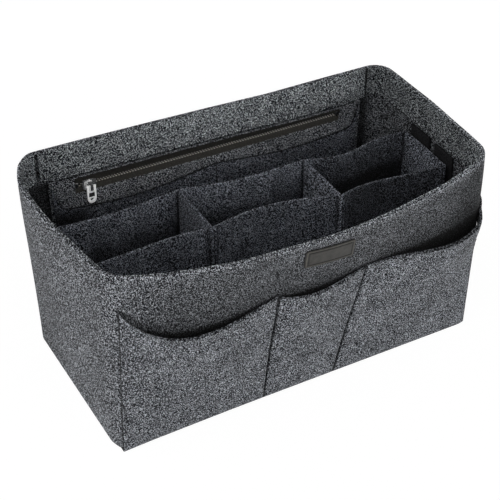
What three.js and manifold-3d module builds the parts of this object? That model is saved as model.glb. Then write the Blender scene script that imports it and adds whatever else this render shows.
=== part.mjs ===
// Felt purse organizer insert: a soft open-topped case with zipped and slip pockets
// inside, three pockets in front, and a lift-out divider insert.
// Millimetres, +Z up, +X along the long side, the front faces -Y.
// The origin is the middle of the case's underside.
import * as THREE from "three";
import { mergeVertices } from "three/addons/utils/BufferGeometryUtils.js";
import Module from "manifold-3d";

// Felt sheets and the air left between pieces that are sewn or lie together
const bandThickness = 2.2;
const liningThickness = 1.5;
const baseThickness = 3;
const dividerThickness = 2;
const gap = 0.3;

// The case's outline at the floor, and its height
const caseLength = 300;
const caseDepth = 150;
const caseHeight = 155;
const cornerRadius = 14;

// How far the soft walls stand out at the rim, compared with the floor
const frontBow = 27;
const leftBow = 11.5;
const rightBow = 2;
const frontLean = 3.5;
const rearLeanLeft = 5.8;
const rearLeanRight = -7.3;
const bowRisePower = 1.5;
const leftBowSkewShare = 0.86;

// Facings: felt strips inside the rim
const facingHeight = 24.5;
const facingRampMargin = 2;
const facingSeamInset = 2;

// Zipped panel on the rear wall
const zipPanelMargin = 3;
const zipPanelTuck = 5.5;
const pouchRamp = 12;
const slotHeight = 12;
const slotTopMargin = 3.5;
const slotLeftMargin = 6;
const slotRightMargin = 3.5;

// Zipper
const tapeThickness = 0.6;
const tapeCover = 5;
const coilThickness = 1.4;
const coilHeight = 1.6;
const stopLength = 2.4;
const sliderGap = 0.4;
const sliderLength = 11;
const sliderSlotGap = 1.8;
const sliderRearPlate = 0.8;
const sliderFrontPlate = 1.2;
const sliderNeckLength = 3;
const sliderNeckThickness = 0.6;
const sliderStopGap = 1;
const crownLength = 2.4;
const crownBar = 1;
const crownLegHeight = 1.7;
const pullThickness = 1.2;
const pullWidth = 7;
const pullLength = 14.2;
const pullBarGap = 0.25;
const pullEyeGap = 0.35;
const pullFrame = 1.2;
const pullWindowLength = 4;
const pullWindowDepth = 0.35;
const pullRingRadius = 3.1;
const pullHoleRadius = 1.4;
const cutOverrun = 0.2;

// Slip pockets on the rear wall, below the zip
const slipSideMargin = 3;
const slipSeamX = 3;
const slipSeamDrop = 6;
const slipEndDrop = 8;
const slipEndRise = 19;
const slipEndRun = 16;
const slipEndPower = 4;
const slipStandoff = 0.8;
const slipDips = [4.8, 3.2];

// Pocket panel on the front: edges and seams from left to right
const pocketEdgeInset = 4;
const pocketSeamLeftX = -34;
const pocketSeamRightTopX = 35.5;
const pocketSeamRightBottomX = 26;
const pocketTopInsets = [27, 47.2, 47, 43];
const pocketDips = [21, 5, 4.5];
const pocketStandoffs = [9, 8, 15];
const pocketSkewShares = [0.55, 0.7, 1.25];
const pocketFillPower = 1.6;

// Label patch on the front
const labelWidth = 40;
const labelHeight = 19;
const labelThickness = 1.2;
const labelX = 1;
const labelTopInset = 8.2;
const labelTilt = THREE.MathUtils.degToRad(-5.4);

// Hook and loop strips at the two ends
const stripSpace = 7;
const loopThickness = 1.8;
const loopTopMargin = 3.5;
const loopHeight = 55;
const hookThickness = 1.2;
const hookTopInset = 3;
const hookHeight = 50;

// Divider insert: two long walls, two cross walls and two end panels
const dividerTopInset = 35.2;
const dividerWidth = 55;
const dividerMiddleY = 1.8;
const dividerSkew = 15;
const dividerSkewShares = [0.5, 0.44, -0.25, -0.5];
const crossWallLeftX = -44.5;
const crossWallRightX = 55.3;
const cellBow = 11;
const rearBowShares = [-0.23, -0.28, -0.3];
const rearWaveShares = [0, 0, -0.3];
const frontBowShares = [0.35, 1, 0.44];
const frontWaveShares = [-0.1, 0, 0.15];
const dividerRowShares = [0, 0.35, 0.7, 1];

// How finely the bent sheets are cut into facets
const wallStep = 15;
const pocketStep = 9;
const cornerSteps = 5;
const bandRows = 8;
const facingRows = 2;
const rampSteps = 3;
const panelRows = 4;
const slipEndSteps = 6;
const slipMiddleSteps = 7;
const slipRows = 5;
const labelColumns = 4;
const labelRows = 2;
const cellSteps = 8;
const endPanelSteps = 4;
const ringSteps = 24;

// Sizes that follow from the ones above
const halfLength = caseLength / 2;
const halfDepth = caseDepth / 2;
const cornerArc = (cornerRadius * Math.PI) / 2;
const longHalf = halfLength - cornerRadius;
const shortSide = caseDepth - 2 * cornerRadius;
const outlineHalf = 2 * longHalf + 2 * cornerArc + shortSide;
const liningInset = bandThickness + gap;
const facingBottom = caseHeight - facingHeight;
const facingSeamX = longHalf - facingSeamInset;
const zipPanelHalf = facingSeamX - zipPanelMargin;
const zipPanelTop = facingBottom + zipPanelTuck;
const facingRampFoot = zipPanelTop + facingRampMargin;
const floorTop = baseThickness + gap;
const stripWidth = (dividerWidth - stripSpace) / 2;

// Depths of the zip's layers, measured inwards from the rear wall's outer face
const sliderBackInset = bandThickness + sliderGap;
const coilBackInset = sliderBackInset + sliderRearPlate + gap;
const coilFrontInset = coilBackInset + coilThickness;
const tapeBackInset = coilBackInset + (coilThickness - tapeThickness) / 2;
const tapeFrontInset = tapeBackInset + tapeThickness;
const pouchDepth = tapeFrontInset + gap - liningInset;
const sliderPlateInset = coilFrontInset + gap;
const sliderFrontInset = sliderPlateInset + sliderFrontPlate;
const zipPanelFrontInset = liningInset + pouchDepth + liningThickness;
const slipFrontInset = zipPanelFrontInset + gap + slipStandoff + liningThickness;
const pullPivotInset = slipFrontInset + gap + pullThickness / 2;

// The slot lies below the facing, and its tapes end before the pouch's side ramps
const slotLeft = pouchRamp + tapeCover + slotLeftMargin - zipPanelHalf;
const slotRight = zipPanelHalf - pouchRamp - tapeCover - slotRightMargin;
const slotTop = facingBottom - slotTopMargin;
const slotBottom = slotTop - slotHeight;
const zipHeight = (slotTop + slotBottom) / 2;
const slipHalfWidth = zipPanelHalf - slipSideMargin;
const pocketTops = pocketTopInsets.map((inset) => caseHeight - inset);

const group = new THREE.Group();
const wasm = await Module();
wasm.setup();

const materials = {
  felt: { color: 0x5b5d61, roughness: 0.95, metalness: 0 },
  tape: { color: 0x17171a, roughness: 0.8, metalness: 0 },
  coil: { color: 0x6e6a64, roughness: 0.45, metalness: 0 },
  metal: { color: 0xc9c9cc, roughness: 0.2, metalness: 1 },
  leather: { color: 0x4a4744, roughness: 0.6, metalness: 0 },
  hookLoop: { color: 0x0d0d0f, roughness: 0.9, metalness: 0 },
};

function addPiece(name, geometry, look) {
  const piece = new THREE.Mesh(geometry, new THREE.MeshStandardMaterial(materials[look]));
  piece.name = name;
  group.add(piece);
  return piece;
}

const { lerp, clamp, smoothstep } = THREE.MathUtils;

function divide(from, to, count) {
  return Array.from({ length: count + 1 }, (_, i) => lerp(from, to, i / count));
}

// Moves a point of the straight-sided case to where the soft wall stands
function softWall(x, y, z) {
  const rise = z / caseHeight;
  const bowRise = rise ** bowRisePower;
  const along = clamp(x / halfLength, -1, 1);
  const across = clamp(y / halfDepth, -1, 1);
  const endBow = x < 0 ? leftBow * (1 + leftBowSkewShare * across) : rightBow;
  const rearLean = lerp(rearLeanLeft, rearLeanRight, (along + 1) / 2);
  const lean = y < 0 ? frontLean : rearLean;
  const sideBow = y < 0 ? frontBow : 0;
  const outX = endBow * bowRise * (1 - across ** 2);
  const outY = lean * rise + sideBow * bowRise * (1 - along ** 2);
  return new THREE.Vector3(
    x + Math.sin((along * Math.PI) / 2) * outX,
    y + Math.sin((across * Math.PI) / 2) * outY,
    z
  );
}

// Place and outward normal on the outline, by distance from the middle of the front
function outlineAt(distance) {
  const side = distance < 0 ? -1 : 1;
  let rest = Math.abs(distance);
  const make = (x, y, nx, ny) => ({ x: side * x, y, nx: side * nx, ny });
  if (rest <= longHalf) return make(rest, -halfDepth, 0, -1);
  rest -= longHalf;
  if (rest <= cornerArc) {
    const nx = Math.sin(rest / cornerRadius);
    const ny = -Math.cos(rest / cornerRadius);
    return make(longHalf + cornerRadius * nx, -shortSide / 2 + cornerRadius * ny, nx, ny);
  }
  rest -= cornerArc;
  if (rest <= shortSide) return make(halfLength, -shortSide / 2 + rest, 1, 0);
  rest -= shortSide;
  if (rest <= cornerArc) {
    const nx = Math.cos(rest / cornerRadius);
    const ny = Math.sin(rest / cornerRadius);
    return make(longHalf + cornerRadius * nx, shortSide / 2 + cornerRadius * ny, nx, ny);
  }
  rest -= cornerArc;
  return make(longHalf - rest, halfDepth, 0, 1);
}

// A point on the case's wall, a given depth inwards from its outer face
function wallPoint(distance, z, inset) {
  const place = outlineAt(distance);
  return softWall(place.x - place.nx * inset, place.y - place.ny * inset, z);
}

function rearPoint(x, z, inset) {
  return softWall(x, halfDepth - inset, z);
}

function frontPoint(x, z, inset) {
  return softWall(x, inset - halfDepth, z);
}

function endPoint(side, y, z, inset) {
  const point = softWall(side * (halfLength - inset), y, z);
  point.y = y;
  return point;
}

// Distances along the outline that fall on every corner's start and end
function outlineSteps(from, to, flatStep = wallStep) {
  const breaks = [longHalf, longHalf + cornerArc, longHalf + cornerArc + shortSide];
  breaks.push(longHalf + 2 * cornerArc + shortSide);
  const inside = [...breaks, ...breaks.map((value) => -value)]
    .filter((value) => value > from && value < to)
    .sort((a, b) => a - b);
  const ends = [from, ...inside, to];
  const steps = [from];
  for (let i = 1; i < ends.length; i += 1) {
    const middle = Math.abs(ends[i] + ends[i - 1]) / 2;
    const onFirstArc = middle > breaks[0] && middle < breaks[1];
    const onSecondArc = middle > breaks[2] && middle < breaks[3];
    const onArc = onFirstArc || onSecondArc;
    const step = onArc ? cornerArc / cornerSteps : flatStep;
    const count = Math.max(1, Math.ceil((ends[i] - ends[i - 1]) / step));
    steps.push(...divide(ends[i - 1], ends[i], count).slice(1));
  }
  return steps;
}

// A closed felt sheet: a grid of columns and rows with a back and a front skin,
// joined along every free edge. place(column, row, side) gives each corner.
function sheet({ columns, rows, place, ring = false, isOpen = () => false }) {
  const positions = [];
  for (const column of columns) {
    for (const row of rows) {
      for (const side of [0, 1]) positions.push(...place(column, row, side).toArray());
    }
  }
  const corner = (i, j, side) => ((i % columns.length) * rows.length + j) * 2 + side;
  const across = ring ? columns.length : columns.length - 1;
  const down = rows.length - 1;
  const solid = (i, j) => {
    const wrapped = ring ? (i + across) % across : i;
    return wrapped >= 0 && wrapped < across && j >= 0 && j < down && !isOpen(wrapped, j);
  };
  const indices = [];
  const quad = (a, b, c, d) => indices.push(a, b, c, a, c, d);
  for (let i = 0; i < across; i += 1) {
    for (let j = 0; j < down; j += 1) {
      if (!solid(i, j)) continue;
      const [a, b, c, d] = [[i, j], [i + 1, j], [i + 1, j + 1], [i, j + 1]];
      quad(corner(...a, 1), corner(...b, 1), corner(...c, 1), corner(...d, 1));
      quad(corner(...d, 0), corner(...c, 0), corner(...b, 0), corner(...a, 0));
      const edge = (p, q) => quad(corner(...p, 0), corner(...q, 0), corner(...q, 1), corner(...p, 1));
      if (!solid(i, j - 1)) edge(a, b);
      if (!solid(i + 1, j)) edge(b, c);
      if (!solid(i, j + 1)) edge(c, d);
      if (!solid(i - 1, j)) edge(d, a);
    }
  }
  const geometry = new THREE.BufferGeometry();
  geometry.setAttribute("position", new THREE.Float32BufferAttribute(positions, 3));
  geometry.setIndex(turnOutwards(positions, indices));
  geometry.computeVertexNormals();
  return geometry;
}

// Reverses the triangles if they face into the solid
function turnOutwards(positions, indices) {
  const point = (index) => new THREE.Vector3().fromArray(positions, index * 3);
  let volume = 0;
  for (let i = 0; i < indices.length; i += 3) {
    const [a, b, c] = [point(indices[i]), point(indices[i + 1]), point(indices[i + 2])];
    volume += a.dot(b.cross(c));
  }
  return volume < 0 ? indices.reverse() : indices;
}

function toSolid(geometry) {
  const plain = new THREE.BufferGeometry();
  plain.setAttribute("position", geometry.getAttribute("position"));
  if (geometry.index) plain.setIndex(geometry.index);
  const merged = mergeVertices(plain);
  const vertProperties = new Float32Array(merged.getAttribute("position").array);
  const triVerts = new Uint32Array(merged.index.array);
  return new wasm.Manifold(new wasm.Mesh({ numProp: 3, vertProperties, triVerts }));
}

function toGeometry(solid) {
  const mesh = solid.getMesh();
  const geometry = new THREE.BufferGeometry();
  geometry.setAttribute("position", new THREE.BufferAttribute(mesh.vertProperties, 3));
  geometry.setIndex(new THREE.BufferAttribute(mesh.triVerts, 1));
  geometry.computeVertexNormals();
  return geometry;
}

// Outer band: one strip of felt around all four sides
function makeOuterBand() {
  addPiece("outer_band", sheet({
    columns: outlineSteps(-outlineHalf, outlineHalf).slice(1),
    rows: divide(0, caseHeight, bandRows),
    ring: true,
    place: (distance, z, side) => wallPoint(distance, z, bandThickness * side),
  }), "felt");
}

// Base panel: a rounded sheet sewn inside the band's lower edge
function makeBasePanel() {
  const x = halfLength - liningInset;
  const y = halfDepth - liningInset;
  const radius = cornerRadius - liningInset;
  const outline = new THREE.Shape();
  outline.absarc(x - radius, y - radius, radius, 0, Math.PI / 2);
  outline.absarc(radius - x, y - radius, radius, Math.PI / 2, Math.PI);
  outline.absarc(radius - x, radius - y, radius, Math.PI, 1.5 * Math.PI);
  outline.absarc(x - radius, radius - y, radius, 1.5 * Math.PI, 2 * Math.PI);
  const geometry = new THREE.ExtrudeGeometry(outline, {
    depth: baseThickness,
    bevelEnabled: false,
    curveSegments: cornerSteps,
  });
  addPiece("base_panel", geometry, "felt");
}

// How full the zipped pouch is at x: nothing at its side seams
function pouchFill(x) {
  return smoothstep(zipPanelHalf - Math.abs(x), 0, pouchRamp);
}

function zipPanelBack(x) {
  return liningInset + pouchDepth * pouchFill(x);
}

function rearFacingBack(x, z) {
  const ramp = clamp((caseHeight - z) / (caseHeight - facingRampFoot), 0, 1);
  return liningInset + ramp * (liningThickness + gap + pouchDepth * pouchFill(x));
}

// Two facings: a straight one over the zipped panel, and one around the other sides
function makeFacings() {
  addPiece("facing_rear", sheet({
    columns: zipColumns(facingSeamX),
    rows: [facingBottom, zipPanelTop, facingRampFoot, caseHeight],
    place: (x, z, side) => rearPoint(x, z, rearFacingBack(x, z) + liningThickness * side),
  }), "felt");
  const end = outlineHalf - (facingSeamX + gap);
  addPiece("facing_wrap", sheet({
    columns: outlineSteps(-end, end),
    rows: divide(facingBottom, caseHeight, facingRows),
    place: (distance, z, side) => wallPoint(distance, z, liningInset + liningThickness * side),
  }), "felt");
}

// Columns across the rear wall, with the slot's ends and the pouch's side ramps
function zipColumns(half) {
  const ramp = divide(zipPanelHalf - pouchRamp, zipPanelHalf, rampSteps);
  const columns = [...ramp, ...ramp.map((x) => -x), -half, half];
  columns.push(...divide(slotLeft, slotRight, Math.ceil((slotRight - slotLeft) / wallStep)));
  return [...new Set(columns)].sort((a, b) => a - b);
}

// Zipped panel: a felt sheet with a slot, over the flat pouch on the rear wall
function makeZipPanel() {
  const columns = zipColumns(zipPanelHalf);
  const rows = [...divide(floorTop, slotBottom, panelRows), slotTop, zipPanelTop];
  const slotRow = rows.indexOf(slotTop) - 1;
  const isOpen = (i, j) => j === slotRow && columns[i] >= slotLeft && columns[i] < slotRight;
  addPiece("zip_panel", sheet({
    columns,
    rows,
    isOpen,
    place: (x, z, side) => rearPoint(x, z, zipPanelBack(x) + liningThickness * side),
  }), "felt");
}

// A straight strip along the zip, side by side with it by depth and height
function zipStrip(fromX, toX, low, high, back, front) {
  return sheet({
    columns: [fromX, toX],
    rows: [zipHeight + low, zipHeight + high],
    place: (x, z, side) => rearPoint(x, z, side ? front : back),
  });
}

// Zipper: two tapes, two coils and a stop at each end
function makeZipper() {
  const coilStart = sliderNeckThickness / 2 + gap;
  const coilEnd = coilStart + coilHeight;
  const tapeStart = coilEnd + gap;
  const tapeEnd = slotHeight / 2 + (zipPanelTuck - gap) / 2;
  const from = slotLeft + gap;
  const to = slotRight - gap;
  const coilFrom = from + stopLength + gap;
  const coilTo = to - stopLength - gap;
  for (const [name, side] of [["upper", 1], ["lower", -1]]) {
    const strip = (x0, x1, low, high, back, front) =>
      zipStrip(x0, x1, Math.min(side * low, side * high), Math.max(side * low, side * high), back, front);
    const tape = strip(
      slotLeft - tapeCover, slotRight + tapeCover, tapeStart, tapeEnd, tapeBackInset, tapeFrontInset
    );
    addPiece(`zipper_tape_${name}`, tape, "tape");
    const coil = strip(coilFrom, coilTo, coilStart, coilEnd, coilBackInset, coilFrontInset);
    addPiece(`zipper_coil_${name}`, coil, "coil");
  }
  const stop = (x) => zipStrip(x, x + stopLength, -coilEnd, coilEnd, coilBackInset, coilFrontInset);
  addPiece("zipper_top_stop", stop(from), "metal");
  addPiece("zipper_bottom_stop", stop(to - stopLength), "metal");
}

// The slider starts by the top stop, and its frame turns with the rear wall
const sliderX = slotLeft + gap + stopLength + sliderStopGap + sliderLength / 2;
const sliderSeat = rearPoint(sliderX, zipHeight, 0);
const trackTurn = Math.atan(((rearLeanRight - rearLeanLeft) * zipHeight) / caseHeight / caseLength);

function placeOnTrack(piece) {
  piece.position.copy(sliderSeat);
  piece.rotation.z = trackTurn;
}

// A flat plate in the slider's frame, cut from an outline in x and z, at given depths
function plate(outline, back, front) {
  const depth = front - back;
  const geometry = new THREE.ExtrudeGeometry(outline, {
    depth,
    bevelEnabled: false,
    curveSegments: cornerSteps,
  });
  geometry.rotateX(Math.PI / 2);
  geometry.translate(0, -back, 0);
  return geometry;
}

function outlineOf(points) {
  return new THREE.Shape(points.map(([x, z]) => new THREE.Vector2(x, z)));
}

function rectangle(x0, x1, z0, z1) {
  return outlineOf([[x0, z0], [x1, z0], [x1, z1], [x0, z1]]);
}

// Slider: two plates and a neck between them, with a crown for the pull
function makeSlider() {
  const sliderHeight = slotHeight - 2 * sliderSlotGap;
  const halfOutlineShares = [[-0.5, 0.3], [-0.36, 0.5], [0.12, 0.5], [0.5, 0.34]];
  const upper = halfOutlineShares.map(([x, z]) => [x * sliderLength, z * sliderHeight]);
  const lower = upper.map(([x, z]) => [x, -z]).reverse();
  const outline = outlineOf([...upper, ...lower].reverse());
  const rearPlate = plate(outline, sliderBackInset, sliderBackInset + sliderRearPlate);
  const frontPlate = plate(outline, sliderPlateInset, sliderFrontInset);
  const neckHalf = sliderNeckThickness / 2;
  const neckLeft = -sliderLength / 2 + sliderStopGap;
  const neck = plate(
    rectangle(neckLeft, neckLeft + sliderNeckLength, -neckHalf, neckHalf),
    sliderBackInset + cutOverrun,
    sliderFrontInset - cutOverrun
  );
  const slider = toSolid(rearPlate).add(toSolid(frontPlate)).add(toSolid(neck)).add(makeCrown());
  placeOnTrack(addPiece("zipper_slider", toGeometry(slider), "metal"));
}

// The pull's top bar turns in the crown's square hole, and its eye clears the crown
const crownHole = pullThickness * Math.SQRT2 + 2 * pullBarGap;
const crownHalfHeight = crownHole / 2 + crownLegHeight;
const pullEyeLength = Math.hypot(crownHalfHeight, crownHole / 2 + crownBar) + pullEyeGap;

// Crown: a loop across the slider, whose hole runs along the track
function makeCrown() {
  const holeBack = pullPivotInset - crownHole / 2;
  const holeFront = pullPivotInset + crownHole / 2;
  const side = rectangle(-crownLength / 2, crownLength / 2, -crownHalfHeight, crownHalfHeight);
  const hole = rectangle(-crownLength, crownLength, -crownHole / 2, crownHole / 2);
  const block = toSolid(plate(side, sliderFrontInset - cutOverrun, holeFront + crownBar));
  return block.subtract(toSolid(plate(hole, holeBack, holeFront)));
}

// Pull: an eye around the crown's outer bar, a windowed tab and a ring at the end
function makePull() {
  const half = pullWidth / 2;
  const barHalf = pullThickness / 2;
  const eyeHalf = crownLength / 2 + pullEyeGap;
  const ringMiddle = pullRingRadius - pullLength;
  const tab = toSolid(plate(rectangle(-half, half, ringMiddle, barHalf), -barHalf, barHalf));
  const disc = new THREE.CylinderGeometry(pullRingRadius, pullRingRadius, pullThickness, ringSteps);
  disc.translate(0, 0, ringMiddle);
  const eye = rectangle(-eyeHalf, eyeHalf, -pullEyeLength, -barHalf);
  const hole = new THREE.CylinderGeometry(pullHoleRadius, pullHoleRadius, 2 * pullThickness, ringSteps);
  hole.translate(0, 0, ringMiddle);
  const windowTop = -pullEyeLength - pullFrame;
  const windowHalf = half - pullFrame;
  const window = rectangle(-windowHalf, windowHalf, windowTop - pullWindowLength, windowTop);
  const pull = tab
    .add(toSolid(disc))
    .subtract(toSolid(plate(eye, -pullThickness, pullThickness)))
    .subtract(toSolid(hole))
    .subtract(toSolid(plate(window, barHalf - pullWindowDepth, pullThickness)));
  const geometry = toGeometry(pull);
  geometry.translate(0, -pullPivotInset, 0);
  placeOnTrack(addPiece("zipper_pull", geometry, "metal"));
}

// Height of the slip pockets' mouth at x, and how far it stands off the panel
function slipMouth(x) {
  const side = x < slipSeamX ? 0 : 1;
  const end = side ? slipHalfWidth : -slipHalfWidth;
  const t = (x - end) / (slipSeamX - end);
  const arch = Math.sin(Math.PI * t);
  const nearEnd = clamp(1 - (slipHalfWidth - Math.abs(x)) / slipEndRun, 0, 1);
  const drop = lerp(slipEndDrop, slipSeamDrop, t) + slipDips[side] * arch;
  return {
    height: slotBottom - drop + slipEndRise * nearEnd ** slipEndPower,
    standoff: slipStandoff * arch ** 2,
  };
}

// Slip pocket panel: one sheet sewn at both sides, at the floor and down its middle
function makeSlipPockets() {
  const inner = slipHalfWidth - slipEndRun;
  const endRun = divide(inner, slipHalfWidth, slipEndSteps);
  const columns = [
    ...endRun.map((x) => -x).reverse(),
    ...divide(-inner, slipSeamX, slipMiddleSteps).slice(1),
    ...divide(slipSeamX, inner, slipMiddleSteps).slice(1, -1),
    ...endRun,
  ];
  addPiece("slip_pocket_panel", sheet({
    columns,
    rows: divide(0, 1, slipRows),
    place: (x, share, side) => {
      const mouth = slipMouth(x);
      const z = lerp(floorTop, mouth.height, share);
      const back = zipPanelBack(x) + liningThickness + gap + mouth.standoff * share;
      return rearPoint(x, z, back + liningThickness * side);
    },
  }), "felt");
}

// Where the front pocket panel's edges and seams run at a height
function pocketSeams(z) {
  const lean = z / pocketTops[2];
  const edge = longHalf + cornerRadius * Math.asin((cornerRadius - pocketEdgeInset) / cornerRadius);
  return [-edge, pocketSeamLeftX, lerp(pocketSeamRightBottomX, pocketSeamRightTopX, lean), edge];
}

// Front pocket panel: one sheet with three pockets, full at their mouths
function makeFrontPockets() {
  const columns = [];
  const edges = pocketSeams(pocketTops[2]);
  for (const pocket of [0, 1, 2]) {
    const [from, to] = [edges[pocket], edges[pocket + 1]];
    const stops = outlineSteps(from, to, pocketStep).slice(pocket === 0 ? 0 : 1);
    columns.push(...stops.map((stop) => ({ pocket, t: (stop - from) / (to - from) })));
  }
  addPiece("front_pocket_panel", sheet({
    columns,
    rows: divide(0, 1, bandRows),
    place: ({ pocket, t }, share, side) => {
      const skewed = Math.sin(Math.PI * t ** pocketSkewShares[pocket]);
      const seamTop = lerp(pocketTops[pocket], pocketTops[pocket + 1], t);
      const z = share * (seamTop - pocketDips[pocket] * skewed);
      const seams = pocketSeams(z);
      const distance = lerp(seams[pocket], seams[pocket + 1], t);
      const standoff = pocketStandoffs[pocket] * skewed * share ** pocketFillPower;
      return wallPoint(distance, z, -(gap + standoff + liningThickness * side));
    },
  }), "felt");
}

// Label patch, sewn on the front above the middle pocket
function makeLabel() {
  const cos = Math.cos(labelTilt);
  const sin = Math.sin(labelTilt);
  const middleZ = caseHeight - labelTopInset - labelHeight / 2;
  addPiece("label_patch", sheet({
    columns: divide(-labelWidth / 2, labelWidth / 2, labelColumns),
    rows: divide(-labelHeight / 2, labelHeight / 2, labelRows),
    place: (u, v, side) => frontPoint(
      labelX + u * cos - v * sin,
      middleZ + u * sin + v * cos,
      -(gap + labelThickness * side)
    ),
  }), "leather");
}

// Divider insert: heights, and depths inwards from the end walls' outer faces
const dividerTop = caseHeight - dividerTopInset;
const hookInset = liningInset + loopThickness + gap;
const endPanelInset = hookInset + hookThickness + gap;
const longWallInset = endPanelInset + dividerThickness + gap;

// Middle of the divider's row at each end and cross wall, left to right
function stationY(station) {
  return dividerMiddleY + dividerSkew * dividerSkewShares[station];
}

function longWallY(station, wall) {
  return stationY(station) + (wall * (dividerWidth - dividerThickness)) / 2;
}

// A point on a long wall's middle surface: wall is 1 at the rear and -1 in front
function longWallPoint(wall, cell, t, z) {
  const bowShares = wall > 0 ? rearBowShares : frontBowShares;
  const waveShares = wall > 0 ? rearWaveShares : frontWaveShares;
  const bow = bowShares[cell] * Math.sin(Math.PI * t);
  const wave = waveShares[cell] * Math.sin(2 * Math.PI * t);
  const y = lerp(longWallY(cell, wall), longWallY(cell + 1, wall), t) + cellBow * (bow + wave);
  const leftEnd = endPoint(-1, y, z, longWallInset).x;
  const rightEnd = endPoint(1, y, z, longWallInset).x;
  const stations = [leftEnd, crossWallLeftX, crossWallRightX, rightEnd];
  return new THREE.Vector3(lerp(stations[cell], stations[cell + 1], t), y, z);
}

function makeLongWall(name, wall) {
  const columns = [];
  for (const cell of [0, 1, 2]) {
    const first = cell === 0 ? 0 : 1;
    columns.push(...divide(0, 1, cellSteps).slice(first).map((t) => ({ cell, t })));
  }
  addPiece(name, sheet({
    columns,
    rows: dividerRowShares,
    place: ({ cell, t }, share, side) => {
      const point = longWallPoint(wall, cell, t, lerp(floorTop, dividerTop, share));
      point.y += (side - 0.5) * dividerThickness;
      return point;
    },
  }), "felt");
}

// Each end of a cross wall follows the long wall that it meets
function makeCrossWall(name, x, station) {
  const clear = dividerThickness / 2 + gap;
  addPiece(name, sheet({
    columns: [-1, 1],
    rows: [floorTop, dividerTop],
    place: (wall, z, side) => {
      const cell = side ? station : station - 1;
      const cellWidth = longWallPoint(wall, cell, 1, z).x - longWallPoint(wall, cell, 0, z).x;
      const t = dividerThickness / 2 / cellWidth;
      const meeting = longWallPoint(wall, cell, side ? t : 1 - t, z);
      return new THREE.Vector3(x + (side - 0.5) * dividerThickness, meeting.y - wall * clear, z);
    },
  }), "felt");
}

// End panels hang on the case's end walls by hook and loop strips
function makeEnd(word, side, station) {
  const middle = stationY(station);
  const endSheet = (y0, y1, z0, z1, inset, thickness) => sheet({
    columns: divide(y0, y1, endPanelSteps),
    rows: divide(z0, z1, endPanelSteps),
    place: (y, z, face) => endPoint(side, y, z, inset + thickness * face),
  });
  const panel = endSheet(
    middle - dividerWidth / 2, middle + dividerWidth / 2,
    floorTop, dividerTop, endPanelInset, dividerThickness
  );
  addPiece(`divider_end_panel_${word}`, panel, "felt");
  const loopTop = facingBottom - loopTopMargin;
  for (const [place, way] of [["front", -1], ["rear", 1]]) {
    const stripMiddle = middle + (way * (stripSpace + stripWidth)) / 2;
    const y0 = stripMiddle - stripWidth / 2;
    const y1 = stripMiddle + stripWidth / 2;
    const loop = endSheet(y0, y1, loopTop - loopHeight, loopTop, liningInset, loopThickness);
    addPiece(`loop_strip_${word}_${place}`, loop, "hookLoop");
    const hookTop = dividerTop - hookTopInset;
    const hook = endSheet(y0, y1, hookTop - hookHeight, hookTop, hookInset, hookThickness);
    addPiece(`hook_strip_${word}_${place}`, hook, "hookLoop");
  }
}

makeOuterBand();
makeBasePanel();
makeFacings();
makeZipPanel();
makeZipper();
makeSlider();
makePull();
makeSlipPockets();
makeFrontPockets();
makeLabel();
makeLongWall("divider_rear_wall", 1);
makeLongWall("divider_front_wall", -1);
makeCrossWall("divider_cross_wall_left", crossWallLeftX, 1);
makeCrossWall("divider_cross_wall_right", crossWallRightX, 2);
makeEnd("left", -1, 0);
makeEnd("right", 1, 3);

export default group;
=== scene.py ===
# Felt purse organizer insert: the looks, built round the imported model.
# Sizes are millimetres in the part's own frame, and make_object turns them into metres.
import math
from contextlib import contextmanager
from functools import partial

import bmesh
import bpy
import numpy as np
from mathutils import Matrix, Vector


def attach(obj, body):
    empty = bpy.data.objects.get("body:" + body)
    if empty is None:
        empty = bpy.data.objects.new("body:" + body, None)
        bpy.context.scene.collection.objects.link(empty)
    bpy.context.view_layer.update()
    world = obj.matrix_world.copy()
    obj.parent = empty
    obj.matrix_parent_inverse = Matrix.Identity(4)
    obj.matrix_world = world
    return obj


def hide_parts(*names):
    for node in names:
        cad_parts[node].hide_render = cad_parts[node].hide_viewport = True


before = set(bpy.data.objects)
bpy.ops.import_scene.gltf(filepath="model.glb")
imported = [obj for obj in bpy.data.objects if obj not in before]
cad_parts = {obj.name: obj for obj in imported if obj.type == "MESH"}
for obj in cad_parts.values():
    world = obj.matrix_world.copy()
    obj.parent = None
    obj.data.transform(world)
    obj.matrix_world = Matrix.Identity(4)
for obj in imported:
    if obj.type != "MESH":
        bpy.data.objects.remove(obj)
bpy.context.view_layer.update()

MM = 0.001

# Sheets of felt and the air between them
BAND_THICKNESS = 2.2
LINING_THICKNESS = 1.5
BASE_THICKNESS = 3.0
DIVIDER_THICKNESS = 2.0
GAP = 0.3

# The case's outline at the floor, its height, and how its walls stand out at the rim
CASE_LENGTH = 300.0
CASE_DEPTH = 150.0
CASE_HEIGHT = 155.0
CORNER_RADIUS = 14.0
FRONT_BOW = 27.0
LEFT_BOW = 11.5
RIGHT_BOW = 1.4
FRONT_LEAN = 3.5
REAR_LEANS = (5.8, -7.3)
BOW_RISE_POWER = 1.5
LEFT_BOW_SKEW_SHARE = 0.86

# Facings inside the rim, and the zipped panel on the rear wall
FACING_HEIGHT = 24.5
FACING_RAMP_MARGIN = 2.0
FACING_SEAM_INSET = 2.0
FACING_GAP = 1.4
ZIP_PANEL_MARGIN = 3.0
ZIP_PANEL_TUCK = 5.5
POUCH_RAMP = 12.0
SLOT_HEIGHT = 12.0
SLOT_TOP_MARGIN = 3.5
SLOT_LEFT_MARGIN = 6.0
SLOT_RIGHT_MARGIN = 3.5

# Zipper
TAPE_THICKNESS = 0.6
TAPE_COVER = 5.0
COIL_THICKNESS = 1.4
STOP_LENGTH = 2.4
SLIDER_GAP = 0.4
SLIDER_REAR_PLATE = 0.8

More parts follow.
